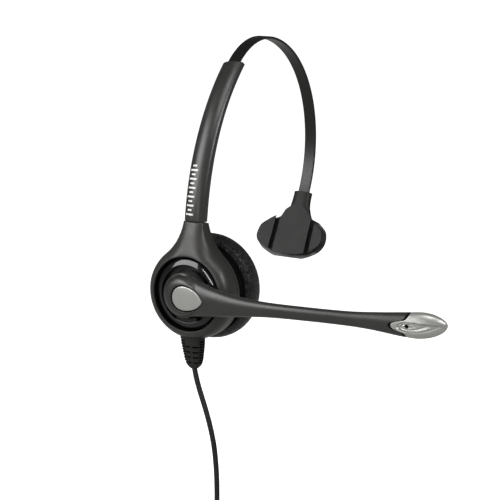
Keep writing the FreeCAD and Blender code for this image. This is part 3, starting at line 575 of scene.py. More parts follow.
def make_turret():
    """Gloss ring, moat and the solid land at the moat's lower end."""
    loops = []
    for degrees in range(360):
        on_land = LAND_FROM <= degrees <= LAND_TO
        floor = LAND_TOP if on_land else MOAT_FLOOR
        soft = 0.22 if on_land else 0.0
        profile = [
            (17.0, -26.0), (17.0, -29.6), (16.9, -29.95), (16.6, -30.2), (15.9, -30.5), (15.1, -30.8),
            (14.5, -31.0), (14.2, -31.08), (13.98, -31.05), (13.82, -30.9), (13.74, -30.7), (13.7, -30.5),
            (13.68, floor + 0.3 if not on_land else -30.35), (13.5, floor + soft), (12.5, floor),
            (11.5, floor + soft * 0.6), (11.25, floor + soft + 0.1), (11.2, MOAT_FLOOR), (5.06, MOAT_FLOOR),
            (5.06, -24.6), (7.36, -24.6), (7.36, -26.0),
        ]
        loops.append(turned(profile, math.radians(degrees)))
    turret = hoop("turret_gloss_ring", loops, MAT["gloss"])
    return settle(crisp(turret, 42), "ear_side", "gloss_plastic", "turret_ring")


# ================================================================ boom

HEAD_R = 10.9
BOOM_MID, BOOM_INWARD, BOOM_TIP, BEND_START = -35.4, 12.0, 131.0, 15.0
ARM_X, FOOT_X = 5.0, 16.0    # where the arm's edges leave the head, and where its plain part begins
TOP_TAPER, LOW_TAPER = 120, 117
TIP_Z = 1.4
JOINT_INSET, HALF_GAP = 0.22, 0.08
# (x, value): the arm's top and bottom edges, and its thickness before and behind the joint
BOOM_TOP = ((5, 9.6), (18, 5.9), (31, 3.8), (44, 3.0), (63, 3.1), (86, 3.6), (98, 4.5), (110, 5.7),
            (118, 6.5), (120, 6.6))
BOOM_LOW = ((5, -9.7), (22, -7.1), (44, -4.3), (63, -3.4), (86, -3.2), (98, -3.8), (110, -5.15), (117, -5.6))
OUTER_SKIN = ((0, 2.9), (22, 2.8), (45, 2.2), (70, 2.0), (90, 2.1), (108, 3.0), (119, 3.6), (127, 3.2),
              (131, 2.2))
INNER_SKIN = ((0, 2.6), (22, 2.5), (45, 2.0), (70, 1.8), (90, 2.0), (108, 2.9), (119, 3.5), (127, 3.0),
              (131, 2.0))
# (u, x): where the silver cap begins across the front, u from -1 at the bottom edge to 1 at the top
CAP_EDGE = ((-1.0, 112.6), (-0.78, 112.1), (-0.6, 111.2), (-0.52, 109.4), (-0.43, 107.7), (-0.3, 106.2),
            (-0.08, 105.4), (0.1, 105.6), (0.24, 106.7), (0.35, 108.7), (0.43, 110.9), (0.56, 112.4),
            (0.8, 113.1), (1.0, 113.6))
CAP_GAP = 1.3


def boom_inward(x):
    """How far the boom has curved towards the cheek."""
    share = max(x - BEND_START, 0) / (BOOM_TIP - BEND_START)
    return BOOM_INWARD * share ** 2


def taper(x, start, power):
    """Rounds the tip off: 1 at start, 0 at the tip."""
    return (1 - min((x - start) / (BOOM_TIP - start), 1) ** power) ** (1 / power)


def boom_top(x):
    return through(BOOM_TOP, x) if x < TOP_TAPER else TIP_Z + 5.2 * taper(x, TOP_TAPER, 1.8)


def boom_low(x):
    return through(BOOM_LOW, x) if x < LOW_TAPER else TIP_Z - 7.0 * taper(x, LOW_TAPER, 1.9)


def tip_fade(x):
    """Thins the skins to nothing at the very end."""
    return (1 - clamp((x - LOW_TAPER) / (BOOM_TIP - LOW_TAPER)) ** 2.6) ** (1 / 2.2)


def parting_y(x):
    """The joint between the boom's halves, lower at the turret head."""
    return BOOM_MID + boom_inward(x) + mix(1.7, 0.3, ease(x, 5, 21))


def arm_face(x, u, thickness, side):
    """A face of the arm at u, from -1 at its bottom edge to 1 at its top edge."""
    crest = BOOM_MID + boom_inward(x) + side * through(thickness, x)
    edge = parting_y(x) + side * HALF_GAP
    return edge + (crest - edge) * crown(u) * tip_fade(x)


def arm_front(x, u):
    return arm_face(x, u, OUTER_SKIN, -1)


def arm_back(x, u):
    return arm_face(x, u, INNER_SKIN, 1)


def arm_z(x, u):
    top, low = boom_top(x), boom_low(x)
    return (top + low) / 2 + (top - low) / 2 * u


INLAY_X, INLAY_HALF = (-3.8, 2.1, 12.9), 5.85    # back, widest place and point; half its width
INLAY_CENTRE = Vector((3.6, -0.4))
INLAY_DROP = -0.35
INLAY_FACE, INLAY_FLOOR, INLAY_GAP = -37.95, -37.1, 0.62


def inlay_outline(count=48):
    """Leaf shape: round behind, pointed along the arm."""
    back, middle, tip = INLAY_X
    upper, lower = [], []
    for share in even(count):
        x = mix(back, tip, (1 - math.cos(math.pi * share * 0.86)) / (1 - math.cos(math.pi * 0.86)))
        if x < middle:
            half = INLAY_HALF * math.sqrt(max(1 - ((middle - x) / (middle - back)) ** 2, 0))
            drop = INLAY_DROP
        else:
            t = (x - middle) / (tip - middle)
            half = INLAY_HALF * max(1 - t ** 2.3, 0) ** 0.8
            drop = INLAY_DROP - 0.55 * t * t
        upper.append(Vector((x, drop + half)))
        lower.append(Vector((x, drop - half)))
    return upper[:-1] + lower[:0:-1]


def inlay_reach(direction, outline):
    """Distance from the inlay's centre to its outline along a direction."""
    angle = math.atan2(direction.y, direction.x)
    best = 0.0
    for k in range(len(outline)):
        a, b = outline[k] - INLAY_CENTRE, outline[(k + 1) % len(outline)] - INLAY_CENTRE
        first = math.remainder(math.atan2(a.y, a.x) - angle, 2 * math.pi)
        second = math.remainder(math.atan2(b.y, b.x) - angle, 2 * math.pi)
        if first * second <= 0 and abs(first - second) < 1:
            share = 0.5 if first == second else first / (first - second)
            best = max(best, (a + (b - a) * share).length)
    return best


LIP, LIP_ROUND = 0.85, 0.35    # the flat lip round the dome, and the rounding of its edge
DOME_TOP, DOME_RISE, LIP_FACE = 38.2, 3.9, 34.3


def lip_reach(way):
    """Distance from the inlay's centre to the foot of the head's dome."""
    along = INLAY_CENTRE.dot(way)
    return -along + math.sqrt(along ** 2 - INLAY_CENTRE.length_squared + (HEAD_R - LIP) ** 2)


def head_front(spot, inlay_r, lip_r):
    """Front of the turret head: a dome round the inlay that the arm grows out of."""
    r = spot.length
    beyond = (spot - INLAY_CENTRE).length - inlay_r
    slope = clamp(beyond / max(lip_r - inlay_r, 2.8))
    dome = DOME_TOP - DOME_RISE * (1 - math.sqrt(max(1 - slope ** 2.2, 0)))
    if r > HEAD_R - LIP:
        dome = min(dome, LIP_FACE)
    if r > HEAD_R - LIP_ROUND:
        dome -= 0.42 * (1 - rounding((HEAD_R - r) / LIP_ROUND))
    dome -= 3.0 * max(r - HEAD_R, 0)
    x = spot.x
    top = boom_top(x) if x > ARM_X else math.sqrt(max(HEAD_R ** 2 - x * x, 0.01))
    low = boom_low(x) if x > ARM_X else -top
    u = (spot.y - (top + low) / 2) / max((top - low) / 2, 0.1)
    edge = -(parting_y(x) - HALF_GAP)
    crest = -(BOOM_MID + boom_inward(x)) + through(OUTER_SKIN, x)
    arm = edge + (crest - edge) * crown(u) * ease(x, -5, 7)
    return -soft_max(dome, arm, mix(1.0, 0.2, ease(x, 8, 14)))


def head_outline():
    """Outline of the head from the arm's top edge round to its bottom edge."""
    top = [Vector((x, boom_top(x))) for x in even(14, FOOT_X, ARM_X)]
    start = math.atan2(BOOM_TOP[0][1], ARM_X)
    end = math.radians(360) + math.atan2(BOOM_LOW[0][1], ARM_X)
    disc = [Vector((HEAD_R * math.cos(a), HEAD_R * math.sin(a))) for a in even(96, start, end)[1:-1]]
    low = [Vector((x, boom_low(x))) for x in even(14, ARM_X, FOOT_X)]
    return top + disc + low


# places across the arm, from its top edge to its bottom one, closer together at the edges
COLUMNS = [math.sin(math.pi / 2 * t) for t in even(56, 1, -1)]


def joint_spot(ray):
    """The point under the head's outline where its front half meets the back one."""
    if ray.x == FOOT_X:
        half = (boom_top(FOOT_X) - boom_low(FOOT_X)) / 2
        inward = Vector((0, (ray.y - arm_z(FOOT_X, 0)) / half * JOINT_INSET))
    elif ray.x > ARM_X:
        inward = Vector((0, math.copysign(JOINT_INSET, ray.y)))
    else:
        inward = ray.normalized() * JOINT_INSET
    return (ray.x - inward.x, parting_y(ray.x), ray.y - inward.y)


def make_boom_front():
    """Front half: a conforming patch round the inlay, then the arm up to the cap."""
    outline = inlay_outline()
    rim = head_outline()
    foot = [Vector((FOOT_X, arm_z(FOOT_X, u))) for u in reversed(COLUMNS[1:-1])]
    # (gap beyond the inlay, depth below the surface, share of the way to the outline)
    steps = [(INLAY_GAP, 0.35, 0.0), (0.66, 0.07, 0.0)]
    steps += [(0.8, 0.0, 1 - (1 - s) ** 1.3) for s in even(30)]
    loops = []
    for ray in rim + foot:
        way = ray - INLAY_CENTRE
        full = way.length
        way = way.normalized()
        inlay_r = inlay_reach(way, outline)
        loop = []
        for r in (inlay_r - 0.6, inlay_r + INLAY_GAP):
            loop.append((INLAY_CENTRE.x + way.x * r, INLAY_FLOOR, INLAY_CENTRE.y + way.y * r))
        for gap, lowered, share in steps:
            spot = INLAY_CENTRE + way * mix(inlay_r + gap, full, share)
            loop.append((spot.x, head_front(spot, inlay_r, lip_reach(way)) + lowered, spot.y))
        loops.append(loop)
    joint = [joint_spot(ray) for ray in rim + foot]
    hub_y = parting_y(INLAY_CENTRE.x)
    head = hoop_open(loops, centre=(INLAY_CENTRE.x, INLAY_FLOOR, INLAY_CENTRE.y))
    head_joint = hoop_open([[p] for p in joint], centre=(INLAY_CENTRE.x, hub_y, INLAY_CENTRE.y))
    edges = [strip([loop[-1] for loop in loops[:len(rim)]], joint[:len(rim)])]
    front = arm_patch(arm_front, 0.0)
    back = arm_patch(lambda x, u: parting_y(x), JOINT_INSET)
    count = len(COLUMNS)
    for start, step in ((0, count), (count - 1, count), (len(front[0]) - count, 1)):
        edges.append(strip(front[0][start::step], back[0][start::step]))
    whole = patchwork("boom_front", [head, head_joint, front, back] + edges, MAT["boom"])
    return settle(crisp(whole, 40), "boom", "satin_plastic", "boom_outer")


def strip(first, second):
    """A row of faces between two lines of points."""
    count = len(first)
    return list(first) + list(second), [(k, k + 1, count + k + 1, count + k) for k in range(count - 1)]


def grid_faces(rows, columns):
    """Faces between the points of a grid, row by row."""
    faces = []
    for row in range(rows - 1):
        for k in range(columns - 1):
            a = row * columns + k
            faces.append((a, a + 1, a + columns + 1, a + columns))
    return faces


def arm_patch(surface, inset):
    """Points and faces of the arm's surface from the head's foot to the cap's edge."""
    stations = even(110)
    points = []
    for share in stations:
        for u in COLUMNS:
            x = mix(FOOT_X, through(CAP_EDGE, u), share)
            points.append((x, surface(x, u), arm_z(x, u) - u * inset))
    return points, grid_faces(len(stations), len(COLUMNS))


def hoop_open(loops, centre):
    """Rays round a centre as points and faces, closed over the centre."""
    count = len(loops[0])
    points = [p for loop in loops for p in loop] + [centre]
    hub = len(points) - 1
    faces = []
    for row in range(len(loops)):
        after = (row + 1) % len(loops)
        faces.append((hub, row * count, after * count))
        for k in range(count - 1):
            faces.append((row * count + k, row * count + k + 1, after * count + k + 1, after * count + k))
    return points, faces


def patchwork(name, patches, material):
    """One welded mesh from several patches."""
    points, faces = [], []
    for patch_points, patch_faces in patches:
        base = len(points)
        points += patch_points
        faces += [tuple(base + k for k in face) for face in patch_faces]
    return weld(link_mesh(name, points, faces, material))


def make_boom_back():
    """Back half of the arm, the skirt that turns in the turret, hub and stop lug."""
    loops = []
    for x in even(100, 3.5, 113.4):
        back = []
        for u in reversed(COLUMNS[::2]):
            end = mix(0, clamp((x - 108) / 5.4) * 1.1, (u + 1) / 2)
            back.append((x + end, arm_back(x + end, u), arm_z(x + end, u)))
        joint = []
        for x_end, _, z_end in (back[-1], back[0]):
            joint.append((x_end, parting_y(x_end), z_end - math.copysign(JOINT_INSET, z_end)))
        loops.append(back + joint)
    arm = rings("boom_back_arm", loops, MAT["boom"])
    skirt = lathe("boom_skirt", [
        (5.2, -28.27), (10.75, -28.27), (HEAD_R, -28.5), (HEAD_R, -33.2), (10.82, -33.4), (10.62, -33.46),
        (5.2, -33.46),
    ], MAT["boom"], 144)
    hub = lathe("boom_hub", [
        (1.6, -34.8), (5.2, -34.8), (5.2, -28.3), (5.0, -28.2), (5.0, -24.02), (4.4, -24.02), (4.4, -23.38),
        (5.0, -23.38), (5.0, -22.9), (4.7, -22.6), (1.6, -22.6),
    ], MAT["boom"], 96)
    section = ((10.6, -28.5), (13.2, -28.5), (13.4, -28.8), (13.4, -32.9), (13.1, -33.2), (10.6, -33.2))
    lug = rings("boom_lug", [turned(section, math.radians(d)) for d in even(8, -6, 6)], MAT["boom"])
    whole = joined([arm, skirt, hub, lug], "boom_back")
    return settle(whole, "boom", "satin_plastic", "boom_inner")


def make_inlay():
    """Silver leaf, slightly domed, with a rolled edge, over a matt black sheet of painted shade in the gap
    round it.
    """
    outline = inlay_outline(64)
    edge = ((0.0, 1.35), (0.0, 0.42), (0.05, 0.2), (0.16, 0.08), (0.34, 0.0))
    loops = [inlay_ring(outline, inset, sink) for inset, sink in edge]
    loops += [inlay_ring(outline, 0.34, 0.0, share) for share in even(12)[1:-1]]
    inlay = rings("silver_leaf", loops, MAT["silver"])
    # matt black sheet at the bottom of the gap round the leaf: painted shade that darkens the gap
    gap_shade = rings("inlay_gap_shade", [inlay_ring(outline, -0.6, sink) for sink in (0.9, 0.62)], MAT["matt"])
    settle(crisp(gap_shade), "boom", "soft_rubber")
    return settle(crisp(inlay, 60), "boom", "silver_plastic", "boom_inlay")


def inlay_ring(outline, inset, sink, shrink=0.0):
    """The inlay's outline, drawn in by inset, lowered by sink, and shrunk towards its centre."""
    ring = []
    for spot in outline:
        way = spot - INLAY_CENTRE
        place = INLAY_CENTRE + way * ((way.length - inset) / way.length) * (1 - shrink)
        rise = 0.3 * (1 - (1 - shrink) ** 2)
        ring.append((place.x, INLAY_FACE + sink - rise, place.y))
    return ring


# ================================================================ microphone end

MIC_X, MIC_Z = 113.8, 0.05
LEAF_LEFT, LEAF_WIDE, LEAF_RIGHT = 109.2, 116.0, 130.2
LEAF_HALF = 2.55
HOLE_DEPTH = 1.5
CAP_BACK = (113.9, 114.9)    # where the cap begins behind, at its bottom and top edges


def leaf_half(x):
    """Half height of the scooped leaf at x."""
    if x < LEAF_WIDE:
        return LEAF_HALF * max(1 - ((LEAF_WIDE - x) / (LEAF_WIDE - LEAF_LEFT)) ** 2.2, 0) ** 0.5
    return LEAF_HALF * max(1 - ((x - LEAF_WIDE) / (LEAF_RIGHT - LEAF_WIDE)) ** 1.9, 0) ** 0.9


def leaf_share(x, z):
    """0 at the microphone hole, 1 on the outline of the recess round it."""
    if abs(x - MIC_X) < 0.02 and abs(z - MIC_Z) < 0.02:
        return 0.0
    low, high = 0.0, 40.0
    length = math.hypot(x - MIC_X, z - MIC_Z)
    dx, dz = (x - MIC_X) / length, (z - MIC_Z) / length
    for _ in range(18):
        middle = (low + high) / 2
        px, pz = MIC_X + dx * middle, MIC_Z + dz * middle
        centre = -0.2 + 0.0075 * max(px - LEAF_WIDE, 0) ** 2
        inside = LEAF_LEFT < px < LEAF_RIGHT and abs(pz - centre) < leaf_half(px)
        low, high = (middle, high) if inside else (low, middle)
    return length / max(low, 0.01)


def cap_relief(x, z):
    """Depth of the scooped leaf with its nested ridges and the sound hole."""
    if not LEAF_LEFT - 0.5 < x < LEAF_RIGHT + 0.5 or abs(z) > 4.5:
        return 0.0
    share = leaf_share(x, z)
    scoop = 0.62 * ease(1.0 - share, 0.0, 0.16)
    scoop += 0.22 * ease(1.0 - share, 0.3, 0.75)
    ridge = 0.2 * ease(share, 0.2, 0.36) * (1 - ease(share, 0.82, 0.94))
    scoop += ridge * math.cos(2 * math.pi * (share - 0.5) / 0.42)
    hole = HOLE_DEPTH * (1 - ease(math.hypot(x - MIC_X, z - MIC_Z), 0.8, 1.02))
    return scoop + hole


def make_mic_cap():
    """Silver bullet end with its tongue, scooped leaf and sound hole."""
    columns = [math.sin(math.pi / 2 * t) for t in even(120, 1, -1)]
    shares = [mix(s, math.sin(math.pi / 2 * s), 0.55) for s in even(220)]
    tip = BOOM_TIP - 0.02
    loops = []
    for share in shares:
        lift = 0.15 * (1 - rounding(share / 0.02))
        loop = []
        for u in columns:
            x = mix(through(CAP_EDGE, u) + CAP_GAP, tip, share)
            z = arm_z(x, u)
            loop.append((x, arm_front(x, u) + lift + cap_relief(x, z), z))
        for u in reversed(columns[1:-1:2]):
            x = mix(mix(*CAP_BACK, (u + 1) / 2), tip, share)
            loop.append((x, arm_back(x, u), arm_z(x, u)))
        loops.append(loop)
    centre = (117.0, -27.0, 0.8)
    first = [(x + 0.1, mix(y, centre[1], 0.12), mix(z, centre[2], 0.12)) for x, y, z in loops[0]]
    loops = [[centre] * len(first), first] + loops
    cap = weld(rings("mic_bullet", loops, MAT["silver"], close_start=False), 0.004)
    return settle(crisp(cap, 45), "boom", "silver_plastic", "mic_cap")


def make_mic_gasket():
    """Dark rubber core that shows in the joint between the arm and the cap."""
    loops = []
    for x, size in ((103.0, 0.72), (104.5, 0.88), (113.5, 0.9), (118.5, 0.84), (120.0, 0.6)):
        loop = []
        for k in range(40):
            angle = 2 * math.pi * k / 40
            u = math.sin(angle) * size
            surface = arm_front if math.cos(angle) > 0 else arm_back
            edge = parting_y(x)
            y = edge + (surface(x, math.sin(angle) * 0.999) - edge) * size * (0.62 if x > 107 else 0.8)
            loop.append((x, y, arm_z(x, u)))
        loops.append(loop)
    gasket = rings("mic_gasket", loops, MAT["matt"])
    return settle(gasket, "boom", "soft_rubber", "mic_boot")


def make_cap_seam():
    """Black ribbon sunk in the joint between the arm and the cap."""
    top, under = [], []
    for step in (-0.15, 0.25, CAP_GAP + 0.15):
        for u in COLUMNS[2:-2]:
            x = through(CAP_EDGE, u) + step
            y = arm_front(x, u)
            middle = parting_y(x)
            sunk = mix(y, middle, 0.16 / max(abs(middle - y), 0.4))
            top.append((x, sunk, arm_z(x, u * 0.99)))
            under.append((x, mix(sunk, middle, 0.3), arm_z(x, u * 0.99)))
    seam = slab("cap_seam", top, under, 3, len(COLUMNS) - 4, MAT["matt"])
    return settle(seam, "boom", "soft_rubber")


def make_mic_port():
    """Black screen at the bottom of the sound hole."""
    y = arm_front(MIC_X, 0) + HOLE_DEPTH
    turns = [math.radians(15 * k) for k in range(24)]
    loops = []
    for r, depth in ((0.5, 1.2), (0.95, 1.2), (0.95, 0.1), (0.85, 0.0), (0.3, 0.06), (0.02, 0.08)):
        loops.append([(MIC_X + r * math.cos(a), y + depth, MIC_Z + r * math.sin(a)) for a in turns])
    port = rings("mic_port", loops, MAT["matt"])
    return settle(port, "boom", "cloth", "mic_grille")


# ================================================================ sleeve and band


def arc_at(centre_y, centre_z, radius, degrees, x=0.0):
    """A point at an angle up from -Y about a line along X."""
    angle = math.radians(degrees)
    return (x, centre_y - radius * math.cos(angle), centre_z + radius * math.sin(angle))


SLEEVE_HALF, SLEEVE_BACK = 5.3, -2.2
FOOT_DEEPER = 1.8            # the sleeve is thicker towards the cup
MOUTH_SKEW = 0.127           # degrees per millimetre that the mouth leans to the head
MOUTH_TILT = 0.07            # degrees per millimetre that it rises towards the face


def sleeve_top(x):
    """Crowned outer face that rolls over into the sides."""
    return 0.4 + 2.2 * max(1 - (x / SLEEVE_HALF) ** 2, 0) ** 0.75


def make_sleeve():
    """Crowned sleeve with softened ends and a square mouth round the band."""
    across = [SLEEVE_HALF * math.sin(math.pi / 2 * t) for t in even(32, -1, 1)]
    side = [(SLEEVE_HALF, -0.5), (SLEEVE_HALF, -1.3), (5.15, -1.75), (4.75, -2.1), (4.3, SLEEVE_BACK)]
    section = [(x, sleeve_top(x)) for x in across] + side
    section += [(x, SLEEVE_BACK) for x in (2.2, 0.0, -2.2)] + [(-x, r) for x, r in reversed(side)]
    mouth = [(max(min(x, 3.9), -3.9), max(min(r, 1.35), -0.78)) for x, r in section]

    def loop(points, degrees, inset=0.0):
        """A section at an angle along the sleeve, drawn in by inset."""
        ring = []
        shrink = 1 - inset / SLEEVE_HALF
        deeper = FOOT_DEEPER * (1 - ease(degrees, SLEEVE_FROM, SLEEVE_TO - 8))
        at_mouth = ease(degrees, SLEEVE_TO - 4, SLEEVE_TO - 0.3)
        for x, r in points:
            if r < 0:
                r *= 1 + deeper / -SLEEVE_BACK
            turn = degrees + at_mouth * (MOUTH_SKEW * (2.6 - r) + MOUTH_TILT * (x + SLEEVE_HALF) - 0.4)
            away = SLEEVE_R + (r - 0.2) * (1 - inset / 2.4) + 0.2
            ring.append(arc_at(SLEEVE_Y, SLEEVE_Z, away, turn, x * shrink))
        return ring

    places = [(SLEEVE_FROM + 0.02, 0.14), (SLEEVE_FROM + 0.06, 0.05), (SLEEVE_FROM + 0.2, 0.0)]
    places += [(degrees, 0.0) for degrees in even(72, SLEEVE_FROM + 0.6, SLEEVE_TO - 0.3)]
    places += [(SLEEVE_TO - 0.1, 0.0), (SLEEVE_TO - 0.03, 0.08), (SLEEVE_TO, 0.22)]
    loops = [loop(section, degrees, inset) for degrees, inset in places]
    loops += [loop(mouth, SLEEVE_TO - back) for back in (0.0, 0.1, 2.5)]
    sleeve = rings("slider_sleeve", loops, MAT["sleeve"])
    return settle(crisp(sleeve, 40), "ear_side", "satin_plastic", "sleeve_outer")


BARS, BARS_FROM, BAR_PITCH, BAR_WIDTH = 12, 6.6, 1.04, 0.42    # the last three in degrees
LONG_BAR, SHORT_BAR = (-3.9, 0.3), (-3.0, -0.6)


def make_index_bars():
    """Plain white size marks printed on the sleeve: long bars with short ones between."""
    bars = []
    for number in range(BARS):
        ends = SHORT_BAR if number % 2 else LONG_BAR
        at = BARS_FROM + number * BAR_PITCH
        top, under = [], []
        for degrees in even(2, at, at + BAR_WIDTH):
            for x in even(10, *ends):
                r = SLEEVE_R + sleeve_top(x)
                top.append(arc_at(SLEEVE_Y, SLEEVE_Z, r + 0.03, degrees, x))
                under.append(arc_at(SLEEVE_Y, SLEEVE_Z, r - 0.05, degrees, x))
        bars.append(slab("bar", top, under, 3, 11, MAT["print"]))
    whole = joined(bars, "size_marks")
    return settle(whole, "ear_side", "satin_plastic")


def slab(name, top, under, rows, columns, material):
    """A thin closed sheet between two grids of points."""
    half = len(top)
    faces = grid_faces(rows, columns)
    faces += [tuple(half + k for k in reversed(face)) for face in faces]
    border = list(range(columns))
    border += [row * columns + columns - 1 for row in range(1, rows)]
    border += [(rows - 1) * columns + k for k in range(columns - 2, -1, -1)]
    border += [row * columns for row in range(rows - 2, 0, -1)]
    for k, a in enumerate(border):
        b = border[(k + 1) % len(border)]
        faces.append((a, half + a, half + b, b))
    return outward(link_mesh(name, top + under, faces, material))


BAND_HALF, BAND_T, BAND_CORNER, BAND_FROM = 3.175, 1.3, 0.34, 8.0
BAND_BENDS = ((40.0, 54.0), (58.0, 60.0), (60.0, 45.4))    # (radius, degrees) beyond the sleeve's arc
PAD_TAIL = 9.0
NOTCHES, NOTCH_FROM, NOTCH_STEP, NOTCH_WIDTH = 13, 15.0, 1.25, 0.35    # the last three in degrees
NOTCH_DEPTH = 0.2


def band_stations():
    """(y, z, angle, notched) along the strip, from its hidden end to the pad."""
    edges = []
    for number in range(NOTCHES):
        at = NOTCH_FROM + NOTCH_STEP * number
        edges += [(at, 0), (at + 0.03, 1), (at + NOTCH_WIDTH - 0.03, 1), (at + NOTCH_WIDTH, 0)]
    edges += [(angle, 0) for angle in even(8, BAND_FROM, NOTCH_FROM - 0.4)]
    edges += [(angle, 0) for angle in even(14, 31.0, SLEEVE_TO)]
    stations = []
    for angle, notched in sorted(edges):
        _, y, z = arc_at(SLEEVE_Y, SLEEVE_Z, SLEEVE_R, angle)
        stations.append((y, z, angle, notched))
    centre_y, centre_z, radius, angle = SLEEVE_Y, SLEEVE_Z, SLEEVE_R, SLEEVE_TO
    for bend_r, bend_degrees in BAND_BENDS:
        _, y, z = arc_at(centre_y, centre_z, radius, angle)
        _, back_y, back_z = arc_at(0, 0, bend_r, angle)
        centre_y, centre_z, radius = y - back_y, z - back_z, bend_r
        for turn in even(int(bend_degrees / 1.5), 0, bend_degrees)[1:]:
            _, y, z = arc_at(centre_y, centre_z, radius, angle + turn)
            stations.append((y, z, angle + turn, 0))
        angle += bend_degrees
    y, z, angle, _ = stations[-1]
    lean = math.radians(angle)
    for run in (3.0, 6.0, PAD_TAIL):
        stations.append((y + run * math.sin(lean), z + run * math.cos(lean), angle, 0))
    return stations


def make_band():
    """Spring strip with rolled edges and click notches on its inner face."""
    section = []
    for x_side, r_side, start in ((1, 1, 0), (-1, 1, 90), (-1, -1, 180), (1, -1, 270)):
        for turn in (0, 22.5, 45, 67.5, 90):
            angle = math.radians(start + turn)
            section.append((
                x_side * (BAND_HALF - BAND_CORNER) + BAND_CORNER * math.cos(angle),
                r_side * (BAND_T / 2 - BAND_CORNER) + BAND_CORNER * math.sin(angle),
            ))
        if start == 0:
            section += [(x, BAND_T / 2) for x in (1.6, 0.0, -1.6)]
        if start == 180:
            section += [(x, -BAND_T / 2) for x in (-2.0, -1.95, 0.0, 1.95, 2.0)]
    loops = []
    for y, z, degrees, notched in band_stations():
        angle = math.radians(degrees)
        loop = []
        for x, r in section:
            if notched and r < -0.6 and abs(x) < 1.96:
                r += NOTCH_DEPTH
            loop.append((x, y - r * math.cos(angle), z + r * math.sin(angle)))
        loops.append(loop)
    band = rings("spring_strip", loops, MAT["strip"])
    return settle(crisp(band, 42), "band_side", "spring_band", "headband")


# ================================================================ temple pad

PAD_END = Vector((0.0, 87.443, 33.444))
PAD_DOWN = Vector((0.0, -0.42894, -0.90334))
PAD_OUT = Vector((0.0, 0.90334, -0.42894))
# (v, half width), v down from the strip's last bend
PAD_WIDTH = ((1.4, 5.1), (4, 5.1), (7, 5.3), (10, 6.1), (13.2, 7.7), (15.4, 9.2), (17.4, 11.2), (20.0, 14.7),
             (22.5, 17.5), (26, 18.45), (28.8, 17.9), (31.4, 15.9), (33.3, 12.7), (34.9, 8.8), (35.7, 4.6),
             (35.95, 0.0))
PAD_END_V = PAD_WIDTH[-1][0]
PAD_SHIFT = -1.05
PANEL_LEFT, PANEL_RIGHT, GROOVE = -7.05, 9.95, 3.9
PAD_FACE, PAD_FLOOR = -3.4, -0.6
# (outset, height) up the edge of the panel and the wings, which widen towards their face
PAD_BEVEL = ((0.0, PAD_FLOOR + 0.05), (0.0, PAD_FACE + 0.55), (0.1, PAD_FACE + 0.26), (0.3, PAD_FACE + 0.07),
             (0.62, PAD_FACE))


def pad_half(v):
    return through(PAD_WIDTH, v)


def pad_point(x, v, out):
    """A point of the pad; its left shoulder is slimmer than the right one, its left chin fuller."""
    if x < 0:
        x *= 1 - 0.16 * ease(v, 6.5, 11.5) * (1 - ease(v, 14.0, 17.5)) + 0.06 * ease(v, 24, 33)
    aside = Vector((x + PAD_SHIFT * ease(v, 6, 18), 0, 0))
    return tuple(PAD_END + aside + PAD_DOWN * v + PAD_OUT * out)


def mirrored(right):
    """A closed outline from its right-hand side."""
    return [Vector((-p.x, p.y)) for p in right] + list(reversed(right))


def island(name, outline, levels, material):
    """A closed slab of a flat outline; levels are (outset, height) pairs from one face to the other."""
    outline = spaced(outline, 0.25)
    count = len(outline)
    loops = []
    for outset, out in levels:
        loop = []
        for k in range(count):
            before, here, after = outline[k - 1], outline[k], outline[(k + 1) % count]
            into = (here - before).normalized()
            onward = (after - here).normalized()
            normal = Vector((-(into.y + onward.y), into.x + onward.x))
            normal = normal.normalized() / max(math.sqrt((1 + into.dot(onward)) / 2), 0.5)
            spot = here + normal * outset
            loop.append(pad_point(spot.x, spot.y, out))
        loops.append(loop)
    return rings(name, loops, material)


def spaced(points, step):
    """Drops points nearer than a step to the one before."""
    kept = [points[0]]
    for point in points[1:]:
        if (point - kept[-1]).length > step:
            kept.append(point)
    if (kept[-1] - kept[0]).length < step:
        kept.pop()
    return kept


def pad_panel_outline():
    """The centre panel: an arched top under the neck, straight sides and the pad's own chin."""
    arch = [Vector((x, 9.6 + 0.075 * x * x)) for x in even(24, PANEL_LEFT + 0.4, 8.6)]
    flank = even(60, 15.6, chin_v(PANEL_RIGHT) - 0.3)
    right = [Vector((min(pad_half(v), PANEL_RIGHT), v)) for v in flank]
    left = [Vector((max(-pad_half(v), PANEL_LEFT), v)) for v in reversed(flank)]
    chin = [Vector((x, chin_v(x))) for x in even(30, PANEL_RIGHT, PANEL_LEFT)]
    return list(reversed(arch + right + chin + left))


def pad_wing_outline(side, inner, drop):
    """A wing beyond the groove; its inner corner at the top lies drop below the pad's outline."""
    wing = [Vector((pad_half(v), v)) for v in even(60, 16.4, 34.4) if pad_half(v) > inner + 0.05]
    wing = [Vector((inner, wing[0].y + drop))] + wing + [Vector((inner, wing[-1].y - 0.4))]
    outline = [Vector((p.x * side, p.y)) for p in wing]
    return list(reversed(outline)) if side == 1 else outline


